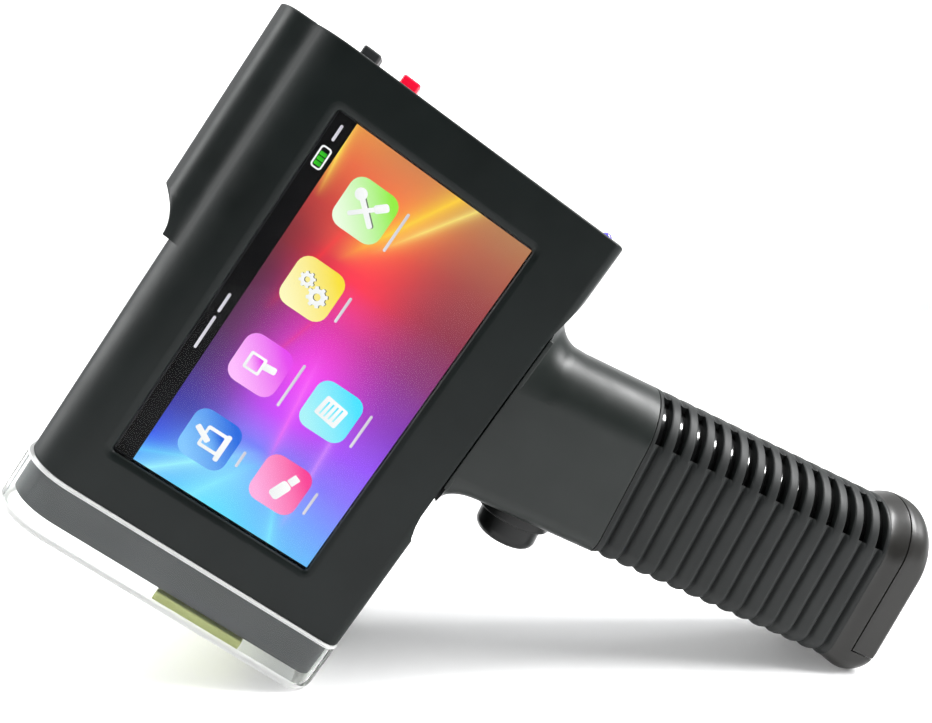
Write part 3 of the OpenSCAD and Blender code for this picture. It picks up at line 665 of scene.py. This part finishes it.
def screen():
    wallpaper = sheet_mesh("screen_wallpaper", DISPLAY_W, DISPLAY_L, TOP_OF_PANEL - 0.03)
    place(wallpaper, "printer", wallpaper_material())
    d = Drawing()
    white, shadow, green, grey = 0, 1, 8, 9
    icons = [  # across, row, slot
        (COLUMN + 3 * COLUMN_PITCH, ROW_1, 2), (COLUMN + 2 * COLUMN_PITCH, ROW_1, 3),
        (COLUMN + COLUMN_PITCH, ROW_1, 4), (COLUMN + COLUMN_PITCH, ROW_2, 5),
        (COLUMN, ROW_1, 6), (COLUMN, ROW_2, 7)]
    tools, gears, device, document, page, stick = icons
    tile = rounded_rect(13.0, 12.6, 3.2)
    for across, row, slot in icons:
        d.plate(spot(tile, across, -row), 0.02, slot)

    def glyph(size, icon, a, b, angle=0.0, level=GLYPH, slot=white):
        """A rounded bar on an icon; size is its width, height and rounding."""
        d.plate(spot(rounded_rect(*size), icon[0] + a, b - icon[1], angle), level, slot)

    for angle, width in ((48, 1.3), (-48, 1.1)):
        glyph((8.4, width, 0.5), tools, 0.2, -0.25, angle, SHADE, shadow)
        glyph((8.4, width, 0.5), tools, 0, 0, angle)
    d.plate(spot(circle(1.5, 20), tools[0] + 2.6, 2.9 - tools[1]), GLYPH, white)
    glyph((3.6, 2.0, 0.7), tools, 2.5, -2.8, -48)
    for da, db, size in ((-1.0, -1.9, 2.0), (1.2, 2.2, 1.55)):
        outer = cog(size, 8, size * 0.28)
        inner = circle(size * 0.45, len(outer))
        for right, down, level, slot in ((0.15, 0.2, SHADE, shadow), (0, 0, GLYPH, white)):
            at = (gears[0] + da + right, db - gears[1] - down)
            d.strip(spot(inner, *at), spot(outer, *at), level, slot)
    glyph((4.6, 4.4, 0.5), device, -0.3, 1.3)
    glyph((3.3, 3.0, 0.3), device, -0.3, 1.3, 0, DETAIL, device[2])
    glyph((1.8, 3.6, 0.5), device, 0.4, -2.2, 6)
    glyph((5.4, 6.4, 0.5), document, 0, 0, -8)
    for k in range(4):
        glyph((3.8, 0.45, 0.2), document, 0, 1.9 - 1.25 * k, -8, DETAIL, document[2])
    glyph((5.8, 6.0, 0.6), page, 0.2, -0.9)
    glyph((4.0, 4.2, 0.3), page, 0.2, -0.7, 0, DETAIL, page[2])
    glyph((7.4, 1.3, 0.5), page, -0.2, -3.6)
    glyph((4.8, 1.5, 0.4), page, 0.4, 2.2, 62, 0.07)
    glyph((5.2, 2.9, 0.9), stick, -1.2, -0.6, -22)
    glyph((2.6, 2.0, 0.3), stick, 2.6, -2.1, -22)
    # Battery gauge and neutral marks for the status line and the labels.
    bar_up, gauge = -2.3, 84.1
    case, edge = rounded_rect(4.8, 2.0, 0.5), rounded_rect(5.6, 2.8, 0.8)
    d.strip(spot(case, gauge, bar_up), spot(edge, gauge, bar_up), GLYPH, white)
    for k in range(3):
        d.plate(spot(rounded_rect(0.95, 1.7, 0.15), gauge - 1.5 + 1.2 * k, bar_up), GLYPH, green)
    status = ((31.0, 9.0), (41.2, 5.2), (88.6, 4.2))
    marks = [(start + length / 2, bar_up, length) for start, length in status]
    marks += [(across, -row - 8.6, length)
              for (across, row, _), length in zip(icons, (10.5, 7.0, 12.0, 9.5, 4.5, 6.5))]
    for across, up, length in marks:
        d.plate(spot(rounded_rect(length, 0.7, 0.3), across, up), GLYPH, grey)
    materials = [lit(name, low, high) for name, low, high in (
        ("glyph", (255, 255, 255), (240, 244, 244)), ("glyph shade", (90, 96, 90), (130, 140, 130)),
        ("green tile", (150, 240, 70), (236, 255, 226)), ("yellow tile", (250, 226, 60), (255, 250, 190)),
        ("magenta tile", (232, 70, 240), (255, 190, 255)), ("cyan tile", (70, 226, 255), (170, 244, 250)),
        ("blue tile", (24, 104, 226), (130, 200, 255)), ("pink tile", (250, 60, 150), (255, 176, 226)),
        ("gauge green", (40, 170, 30), (60, 210, 40)), ("label marks", (206, 204, 214), (226, 224, 232)))]
    place(d.object("screen_icons"), "printer", materials)
    glass = sweep("touch_lens_glass", lambda i: outline(*MODULE, square(0.8), i),
                  -1.25, -0.02, 0.0, 0.12, "z", 3)
    place(glass, "printer", lens_glass, ["touch_lens"])


screen()


# ---------------------------------------------------------------- print end
def cap_ring(y, inset, end):
    """Section of the dust cap at y, drawn in by inset. Its end is rounded more on the right than the left."""
    def drawn(r):
        r = max(r - inset, 0.1)
        d = (end + r) - y
        return r - math.sqrt(max(r * r - d * d, 0)) if d > 0 else 0.0
    left, right, depth = drawn(2.0), drawn(4.0), drawn(1.8)
    grow = CAP_OUTSET - inset
    radii = [(max(rx + grow, 0.4), max(ry + grow, 0.4)) for rx, ry in CASING_WHOLE]
    return lift(outline(LEFT - grow + left, RIGHT + 0.18 - inset - right, BACK - grow + depth,
                        FACE + grow - depth, radii, 0, 12), y, "y")


def dust_cap():
    """The clear cap: its rim and its closed edge are frosted white bands, which are painted highlight lines
    along these edges.
    """
    rim, end = PRINT_END - 0.1, PRINT_END - CAP_DEPTH

    def depths(base, radius):
        return [base + radius * (1 - math.cos(math.pi / 2 * k / 10)) for k in range(10, -1, -1)]

    outer = [cap_ring(rim, 0.15, end), cap_ring(rim - 0.15, 0.0, end), cap_ring(rim - 0.55, 0.0, end)]
    outer += [cap_ring(y, 0.0, end) for y in depths(end, 4.0)]
    inner_end = end + CAP_WALL
    inner = [cap_ring(rim, CAP_WALL - 0.2, end), cap_ring(rim - 0.2, CAP_WALL, end),
             cap_ring(rim - 0.55, CAP_WALL, end)]
    inner += [cap_ring(y, CAP_WALL, inner_end) for y in depths(inner_end, 2.7)]
    n = len(outer[0])
    verts = np.concatenate(outer + inner)
    faces, slots = [], []
    inner_base = len(outer) * n
    for base, rings, flip in ((0, outer, False), (inner_base, inner, True)):
        for i in range(len(rings) - 1):
            # The frosted faces are the rim and the closed edge: light bands that are painted highlight lines.
            frosted = i < 2 or i >= len(rings) - (4 if flip else 9)
            for j in range(n):
                q = quad(i, j, n, base)
                faces.append(q[::-1] if flip else q)
                slots.append(1 if frosted else 0)
        last = base + (len(rings) - 1) * n
        faces.append(tuple(range(last, last + n)))
        slots.append(0)
    for j in range(n):
        k = (j + 1) % n
        faces.append((j, k, inner_base + k, inner_base + j))
        slots.append(1)
    cap = new_object("dust_cap_shell", verts, faces)
    for polygon, slot in zip(cap.data.polygons, slots):
        polygon.material_index = slot
    place(cap, "dust_cover", [clear_plastic, frosted_edge_highlight], ["dust_cap"], angle=50)
    pad = box("seal_pad_block", (CARTRIDGE_X - 11.6, end + CAP_WALL + 0.02, -40),
              (CARTRIDGE_X + 12.8, end + CAP_WALL + PAD_T, 0.35), 0.4)
    place(pad, "dust_cover", seal_foam, ["seal_pad"])


def print_base():
    y0 = PRINT_END - BASE_DEPTH

    def base_section(inset):
        return outline(LEFT + inset, RIGHT - 0.6 - inset, BACK + inset, FACE - inset, CASING_WHOLE, 0, 12)

    base = sweep("print_base_shell", lambda i: base_section(BASE_INSET + i), y0, PRINT_END, 0.6, 0.0)
    inside = sweep("inside", lambda i: casing_whole(BASE_INSET + 2.5 + i), y0 + 3, PRINT_END + 1)
    carve(base, inside)
    lugs = [box("lug", (WHEEL[0] - 3.5, y0 + 2, z), (WHEEL[0] + 3.5, WHEEL[1] + 4, z + 2.5))
            for z in (WHEEL[2] - 7.5, WHEEL[2] + 5)]
    bosses = [rod("boss", (x, BASE_SCREWS_Z), 3, y0 + 1, PRINT_END, "y") for x in BASE_SCREWS_X]
    carve(base, *lugs, *bosses, operation="UNION")
    slot_z = MID - 5.5
    cutters = [
        box("nozzle slot", (CARTRIDGE_X - 4.5, -40, slot_z - 11), (CARTRIDGE_X + 4.5, 0, slot_z + 11)),
        box("wheel pocket", (WHEEL[0] - 8, -40, WHEEL[2] - 5), (WHEEL[0] + 8, y0 + 3.5, WHEEL[2] + 5)),
        rod("axle bore", WHEEL[:2], 1.5, WHEEL[2] - 8, WHEEL[2] + 8, "z", 24)]
    for x in BASE_SCREWS_X:
        cutters.append(rod("screw bore", (x, BASE_SCREWS_Z), 1.25, y0 - 1, PRINT_END + 1, "y", 24))
        cutters.append(rod("screw seat", (x, BASE_SCREWS_Z), 2.3, y0 - 1, y0 + 1.8, "y", 32))
    carve(base, *cutters)
    place(base, "printer", base_paint, ["print_base"])


dust_cap()
print_base()


# ---------------------------------------------------------------- grip
def grip_profile(half, low, top, r):
    """Section of the grip in v and w: a half round rear side and a flatter trigger side."""
    a = np.radians(np.linspace(-90, 90, 31))
    rear = np.stack([top - half + half * np.cos(a), half * np.sin(a)], 1)
    return np.concatenate([rear, corner(low + r, half - r, r, r, 90, 8),
                           corner(low + r, r - half, r, r, 180, 8)])


def half_outline(half, low, top, r):
    """The screen side of grip_profile, from the rear to the trigger side."""
    a = np.radians(np.linspace(0, 90, 19))
    rear = np.stack([top - half + half * np.cos(a), half * np.sin(a)], 1)
    return np.concatenate([rear, corner(low + r, half - r, r, r, 90, 8)])


def half_section(outside, side):
    """One half of the grip's shell as a closed outline, between its outside and its hollow."""
    seam = 0.02
    inside = half_outline(GRIP_HALF - 4, GRIP_LOW + 4, GRIP_TOP - 4, 3.0)
    p = np.concatenate([outside, [(outside[-1, 0], seam)], [(inside[-1, 0], seam)], inside[::-1]])
    p[0, 1] = p[-1, 1] = seam
    p[:, 1] *= side
    return p


def flare(s, v):
    """How far the root swells towards the body, at a distance s from it."""
    r = 13.0 if v > 0 else 8.0
    return r - math.sqrt(max(r * r - (r - s) ** 2, 0)) if s < r else 0.0


def grip_half(side, name, replaced, material):
    outside = half_outline(GRIP_HALF, GRIP_LOW, GRIP_TOP, 5.0)
    section = half_section(outside, side)
    within = half_outline(GRIP_HALF - CORE_INSET, GRIP_LOW + CORE_INSET, GRIP_TOP - CORE_INSET, 4.0)
    core = half_section(within, side)
    count_out = len(outside) + 1
    face_x = RIGHT + 0.03
    rings = []
    for s in (0, 0.25, 0.6, 1.1, 1.7, 2.4, 3.2, 4.2, 5.4, 6.8, 8.2, 10, 14, 20, 26):
        v = section[:, 0].copy()
        for k in range(count_out):
            swell = flare(s, v[k]) * max(0.0, 1 - (abs(section[k, 1]) / GRIP_HALF) ** 4)
            v[k] += swell if v[k] > 0 else -swell * 0.8
        foot = np.maximum(v, section[:, 0])
        start = (face_x - GRIP_ROOT[0] + foot * math.sin(GRIP_TILT)) / math.cos(GRIP_TILT)
        u = start + s * (SLEEVE_U - 0.4 - start) / SLEEVE_U
        rings.append(np.stack([u, v, section[:, 1]], 1))
    for u, inset in ((34, 0.0), (SLEEVE_U - 0.3, 0.0), (SLEEVE_U - 0.1, 0.08), (SLEEVE_U, 0.25)):
        p = section.copy()
        d = p[:count_out] - np.array([-2.0, 0.0])
        p[:count_out] -= inset * d / np.linalg.norm(d, axis=1, keepdims=True)
        rings.append(lift(p, u, "u"))
    rings += [lift(core, u, "u") for u in (SLEEVE_U + 0.001, COLLAR_U)]
    shell = rings_mesh(name, rings)
    core_start = SLEEVE_U + 0.01
    for polygon in shell.data.polygons:
        polygon.material_index = 1 if polygon.center.x > core_start else 0
    hole = rod("trigger hole", (0, 0), 9.9, 0, 12, "z", 64)
    hole.data.transform(Matrix.Translation((TRIGGER_U, -30, 0)) @ Matrix.Rotation(-math.pi / 2, 4, "X"))
    tools = [hole]
    if side < 0:
        for p in GRIP_SCREWS:
            tools.append(rod("seat", p, SEAT_R, -GRIP_HALF - 1, -GRIP_HALF + 3))
            tools.append(rod("bore", p, SCREW_R, -GRIP_HALF - 1, 1, steps=24))
    carve(shell, *tools)
    place(shell, "printer", [material, core_gloss], replaced, GRIP)


def grip_neck():
    """Flat neck of the screen-side half, which lies in the cover's relief."""
    neck = box("grip_neck", (70.8, 34.8, SEAM + 0.06), (RIGHT + 0.6, 80.4, MID + GRIP_HALF - 0.02), 0.3)
    place(neck, "printer", grip_plastic)


def sleeve():
    """The ribbed sleeve: grooves all round, cut through as windows on both shoulders of the rear side."""
    half_width = 1.2
    first_window, last_window = math.radians(20), math.radians(78)
    spans = ((-90, -78, 5), (-78, -20, 16), (-20, 20, 12), (20, 78, 16), (78, 90, 5))
    a = [np.linspace(start, end, count)[:-1] for start, end, count in spans]
    a = np.radians(np.append(np.concatenate(a), 90))
    window = (np.abs(a) > first_window - 1e-6) & (np.abs(a) < last_window + 1e-6)
    low, half, top, r = GRIP_LOW, GRIP_HALF, GRIP_TOP, 5.0

    def section(depth_round, depth_flat, depth_low, inset=0.0):
        h, l, t, c = half - inset, low + inset, top - inset, r - inset
        rr = h - depth_round
        rear = np.stack([t - h + rr * np.cos(a), rr * np.sin(a)], 1)
        flats = [(v, h - depth_flat) for v in np.linspace(t - h, l + c, 6)[1:-1]]
        angles = np.radians(np.linspace(90, 180, 9))
        ca = c - np.linspace(depth_flat, depth_low, 9)
        bend = np.stack([l + c + ca * np.cos(angles), h - c + ca * np.sin(angles)], 1)
        mirror = bend[::-1] * (1, -1)
        back = [(v, -w) for v, w in reversed(flats)]
        return np.concatenate([rear, flats, bend, mirror, back])

    count = len(section(0 * a, 0, 0))
    steps_out = [0.15, 0.35, 0.6, 0.9, 1.2, 1.35, 1.5, 1.8, 2.2]
    offsets = [-x for x in reversed(steps_out)] + [0] + steps_out
    us, xs = [SLEEVE_U + 0.03, SLEEVE_U + 0.12], [-2.5, -2.4]
    for k in range(GROOVES):
        for x in offsets:
            us.append(FIRST_GROOVE + k * PITCH + x)
            xs.append(x)
    us += [COLLAR_U - 0.2, COLLAR_U - 0.1]
    xs += [2.4, 2.5]
    outer, inner = [], []
    for u, x in zip(us, xs):
        phase = (math.cos(2 * math.pi * x / PITCH) + 1) / 2
        narrow = math.exp(-(x / 0.42) ** 2)
        flat = 0.62 * narrow + 0.12 * phase ** 2
        end = 0.18 if u in (us[0], us[-1]) else 0.0
        edge = 0.32 * math.exp(-((abs(x) - half_width) / 0.22) ** 2) if abs(x) > half_width - 0.01 else 0.32
        near = 1 / (1 + np.exp((np.abs(a) - last_window - 0.03) / 0.02))
        far = 1 / (1 + np.exp((first_window - 0.02 - np.abs(a)) / 0.02))
        rounded = edge * near * far + 0.10 * phase + flat * (1 - near) + 0.55 * narrow * (1 - far) + end
        outer.append(lift(section(rounded, flat + end, 0.75 * phase ** 1.5 + end), u, "u"))
        inner.append(lift(section(0 * a, 0, 0, CORE_INSET - 0.01), u, "u"))
    n_rings = len(us)
    verts = np.concatenate(outer + inner)
    shift = n_rings * count
    hole = np.zeros((n_rings, count), bool)
    for i in range(n_rings - 1):
        if abs(xs[i]) <= half_width + 1e-6 and abs(xs[i + 1]) <= half_width + 1e-6:
            for j in range(len(a) - 1):
                hole[i, j] = window[j] and window[j + 1] and a[j] * a[j + 1] > 0
    faces = []
    for i in range(n_rings - 1):
        for j in range(count):
            k = (j + 1) % count
            q = quad(i, j, count)
            if not hole[i, j]:
                faces.append(q)
                faces.append(tuple(shift + v for v in reversed(q)))
                continue
            for row, column, p0, p1 in ((i - 1, j, 0, 1), (i + 1, j, 2, 3), (i, j - 1, 3, 0), (i, k, 1, 2)):
                if not hole[row, column]:
                    faces.append((q[p0], q[p1], q[p1] + shift, q[p0] + shift))
    for i in (0, n_rings - 1):
        for j in range(count):
            k = (j + 1) % count
            faces.append((i * count + j, i * count + k, shift + i * count + k, shift + i * count + j))
    obj = new_object("grip_sleeve_ribs", verts, faces)
    place(obj, "printer", rubber, ["grip_sleeve"], GRIP, angle=60)


def end_solid(name):
    """The whole end of the grip, collar and door together."""
    def drawn(u, r):
        d = u - (END_U - r)
        return r - math.sqrt(max(r * r - d * d, 0)) if d > 0 else 0.0

    us = [COLLAR_U + d for d in (0, 0.3, 0.7, 1.2, 1.8, 2.4, 3.0, 3.7, 4.4, 5.1, 5.8)]
    us += [END_U - 6 * math.cos(math.pi / 2 * k / 16) for k in range(1, 17)]
    us += [END_U - 1.3 * (1 - math.sin(math.pi / 2 * k / 5)) for k in range(1, 5)]
    us = sorted(set(round(u, 4) for u in us))
    rings = []
    for u in us:
        t = min(max((u - COLLAR_U) / 6.0, 0), 1)
        grow = t * t * (3 - 2 * t)
        half = GRIP_HALF + 0.02 + (COLLAR_HALF - GRIP_HALF - 0.02) * grow - drawn(u, 1.3)
        low = GRIP_LOW - 0.02 + (COLLAR_LOW - GRIP_LOW) * grow + drawn(u, 6.0)
        top = GRIP_TOP + 0.02 + (COLLAR_TOP - GRIP_TOP - 0.02) * grow - drawn(u, 4.0)
        rings.append(lift(grip_profile(half, low, top, 5.0), u, "u"))
    return rings_mesh(name, rings)


def grip_end():
    cavity = sweep("cavity", lambda i: grip_profile(GRIP_HALF - 4, GRIP_LOW + 4, GRIP_TOP - 4, 3.0),
                   COLLAR_U - 5, DOOR_U + 0.01, along="u")
    notch = box("notch", (DOOR_U, DOOR_LOW, -40), (END_U + 5, 40, 40))
    collar = end_solid("end_collar_shell")
    carve(collar, cavity, notch)
    soften(collar, 0.3)
    place(collar, "printer", collar_plastic, ["end_collar"], GRIP)
    door = end_solid("battery_door_shell")
    keep = box("keep", (DOOR_U + 0.35, DOOR_LOW + 0.35, -40), (END_U + 5, 40, 40))
    carve(door, keep, operation="INTERSECT")
    hollow = sweep("hollow", lambda i: grip_profile(GRIP_HALF - 5, DOOR_LOW + 3, GRIP_TOP - 6, 3.0),
                   DOOR_U - 5, END_U - 2.6, along="u")
    carve(door, hollow)
    soften(door, 0.35)
    place(door, "battery_hatch", collar_plastic, ["battery_door"], GRIP)


def trigger():
    stand = Matrix.Translation((TRIGGER_U, GRIP_LOW, 0)) @ Matrix.Rotation(math.pi / 2, 4, "X")
    edge, crown = 3.0, 1.2
    angles = [math.radians(t) for t in range(0, 81, 8)]
    profile = [(0, -8.6), (TRIGGER_R + 1, -8.6), (TRIGGER_R + 1, -7.4), (TRIGGER_R, -7.4), (TRIGGER_R, -2)]
    profile += [(TRIGGER_R - edge + edge * math.cos(t), TRIGGER_H - crown - edge + edge * math.sin(t))
                for t in angles]
    top_r, top_h = profile[-1]
    profile += [(top_r * (1 - k / 6), top_h + (TRIGGER_H - top_h) * (1 - (1 - k / 6) ** 2))
                for k in range(1, 7)]
    button = rings_mesh("trigger_cap", revolve(profile))
    place(button, "trigger", trigger_gloss, ["trigger_button"], GRIP @ stand)
    high, inner, outer = 3.0, TRIGGER_R + 0.3, 10.6
    ring = [(inner, -6.9), (inner, high - 0.3), (inner + 0.3, high), (outer - 0.9, high),
            (outer - 0.35, high - 0.25), (outer, high - 0.8), (outer, 0.05), (9.85, 0.05), (9.85, -6.9)]
    bezel = rings_mesh("trigger_ring", revolve(ring), close_ends=False)
    place(bezel, "printer", trigger_gloss, ["trigger_bezel"], GRIP @ stand)


grip_half(1, "grip_front_shell", ["grip_front"], grip_plastic)
grip_half(-1, "grip_back_shell", ["grip_back"], grip_plastic)
grip_neck()
sleeve()
grip_end()
trigger()


# ---------------------------------------------------------------- keys and light
def rear_key(name, x, body, material, node):
    half = BUTTON_W / 2
    sides = (x - half, x + half, BUTTON_Z - half, BUTTON_Z + half)
    cap = sweep(name, lambda i: outline(*sides, square(0.7), i, 4),
                REAR - WALL - 1, REAR + BUTTON_H, 0.0, 0.7, "y", 4)
    flange = box("flange", (x - half - 1, REAR - WALL - 1.2, BUTTON_Z - half - 1),
                 (x + half + 1, REAR - WALL - 0.2, BUTTON_Z + half + 1))
    carve(cap, flange, operation="UNION")
    place(cap, body, material, [node])


def status_light():
    angles = [math.radians(t) for t in range(10, 91, 10)]
    profile = [(0, REAR - 2.5), (LED_R, REAR - 2.5), (LED_R, REAR)]
    profile += [(LED_R * math.cos(t), REAR + LED_R * math.sin(t)) for t in angles]
    dome = rings_mesh("status_light", revolve(profile, 36))
    dome.data.transform(Matrix.Translation((LED[0], 0, LED[1])) @ Matrix.Rotation(-math.pi / 2, 4, "X"))
    place(dome, "printer", led_dome, ["status_led"])


rear_key("black_key_cap", BLACK_KEY_X, "black_key", key_black, "black_button")
rear_key("red_key_cap", RED_KEY_X, "red_key", key_red, "red_button")
status_light()


# ---------------------------------------------------------------- doors
def back_door():
    x0, x1, y0, y1 = 22.3, DOOR_PIN[0], -5.7, 59.7
    corners = [(0.05, 0.05), (1.0, 1.0), (1.0, 1.0), (0.05, 0.05)]
    door = sweep("cartridge_door_plate", lambda i: outline(x0, x1, y0, y1, corners, i),
                 BACK, BACK + WALL, 0.4, 0.0, "z", 3)
    knuckle = rod("knuckle", DOOR_PIN, 1.5, y0, y1, "y")
    carve(door, knuckle, operation="UNION")
    bore = rod("bore", DOOR_PIN, 0.85, y0 - 1, y1 + 1, "y", 32)
    pull = rod("pull", (27, BACK - 1.2), 2.4, x0 - 1, x0 + 11, "u")
    carve(door, bore, pull)
    place(door, "cartridge_hatch", back_plastic, ["cartridge_door"])


back_door()


# ---------------------------------------------------------------- carried-over CAD parts
CARRIED = {
    lcd_side: ["lcd_panel"],
    sheet_steel: ["lcd_back_plate", "processor_shield", "nozzle_guard", "usb_socket"],
    board_green: ["main_board", "contact_board"],
    cartridge_black: ["ink_cartridge"],
    cradle_grey: ["cartridge_cradle"],
    brass: ["nozzle_strip", "battery_contacts", "door_contact"],
    axle_steel: ["encoder_axle", "door_hinge_pin"],
    bare_steel: ["case_screws", "base_screws", "grip_screws"],
    dark_parts: ["encoder_sensor", "dc_jack", "buzzer", "button_switches", "trigger_switch"],
    hub_grey: ["encoder_hub"],
    tyre_rubber: ["encoder_tyre"],
    cell_skin: ["battery_cells"],
    wrap_film: ["battery_wrap"],
}
for material, names in CARRIED.items():
    for node_name in names:
        for material_slot in nodes[node_name].material_slots:
            material_slot.material = material


# ---------------------------------------------------------------- stage, light and camera
def stage():
    n = Nodes("studio paper")
    tone = n.ramp(n.noise(3.0, 2.0), [(0.3, (0.86, 0.86, 0.86)), (0.7, (0.88, 0.88, 0.88))])
    n.set(Base_Color=tone, Roughness=0.6)
    n.set(Specular_IOR_Level=0.2, Emission_Color=(1, 1, 1, 1), Emission_Strength=0.14)
    width, front, back, bend, height = 3.0, -1.6, 1.0, 0.5, 2.4
    line = [(front, 0.0), (back, 0.0)]
    angles = np.linspace(0, math.pi / 2, 17)[1:]
    line += [(back + bend * math.sin(t), bend * (1 - math.cos(t))) for t in angles]
    line.append((back + bend, height))
    verts = [(x, y, z) for y, z in line for x in (-width, width)]
    faces = [(2 * k, 2 * k + 1, 2 * k + 3, 2 * k + 2) for k in range(len(line) - 1)]
    paper = new_object("studio_paper", verts, faces)
    paper.data.shade_smooth()
    paper.data.materials.append(n.material)


def area_light(name, place_at, aim, size, power):
    data = bpy.data.lights.new(name, "AREA")
    data.shape, data.size, data.size_y, data.energy = "RECTANGLE", size[0], size[1], power
    lamp = bpy.data.objects.new(name, data)
    scene.collection.objects.link(lamp)
    lamp.location = place_at
    lamp.rotation_euler = (Vector(aim) - Vector(place_at)).to_track_quat("-Z", "Y").to_euler()
    return lamp


def lights():
    world = bpy.data.worlds.new("studio")
    world.use_nodes = True
    tree = world.node_tree
    coords, split = tree.nodes.new("ShaderNodeTexCoord"), tree.nodes.new("ShaderNodeSeparateXYZ")
    fade = tree.nodes.new("ShaderNodeMapRange")
    fade.interpolation_type = "SMOOTHSTEP"
    for socket, value in (("From Min", -0.55), ("From Max", 0.1), ("To Min", 0.05), ("To Max", 0.95)):
        fade.inputs[socket].default_value = value
    tree.links.new(coords.outputs["Generated"], split.inputs[0])
    tree.links.new(split.outputs["Y"], fade.inputs["Value"])
    background = tree.nodes["Background"]
    background.inputs["Color"].default_value = (0.93, 0.97, 1.0, 1)
    tree.links.new(fade.outputs["Result"], background.inputs["Strength"])
    scene.world = world
    area_light("top softbox", (0.0, 0.2, 0.95), (0, 0.05, 0.0), (1.3, 0.9), 5)
    area_light("left softbox", (-0.85, -0.05, 0.6), (-0.05, 0, 0.1), (0.5, 0.9), 12)
    # A long strip of light on the right, along the grip: it draws the shoulder's highlights.
    low, high, aim = Vector((0.85, -0.30, 0.45)), Vector((0.60, 0.08, 0.76)), Vector((0.12, 0.02, 0.09))
    strip = area_light("right strip", (low + high) / 2, aim, (0.55, 0.12), 14)
    along, back = (high - low).normalized(), (strip.location - aim).normalized()
    across = back.cross(along).normalized()
    strip.rotation_euler = Matrix((along, across, along.cross(across))).transposed().to_euler()
    area_light("back wash", (0.0, 0.9, 0.7), (0, 1.5, 0.9), (2.4, 0.8), 22)


def camera():
    data = bpy.data.cameras.new("camera")
    data.lens, data.sensor_width, data.sensor_fit = 28.97, 36.0, "HORIZONTAL"
    data.clip_start = 0.01
    cam = bpy.data.objects.new("camera", data)
    scene.collection.objects.link(cam)
    cam.location = (-0.01742, -0.20103, 0.11249)
    cam.rotation_euler = Euler([math.radians(d) for d in (80.9615, -1.4563, -2.9765)], "XYZ")
    scene.camera = cam


stage()
lights()
camera()
scene.view_settings.view_transform = "Standard"
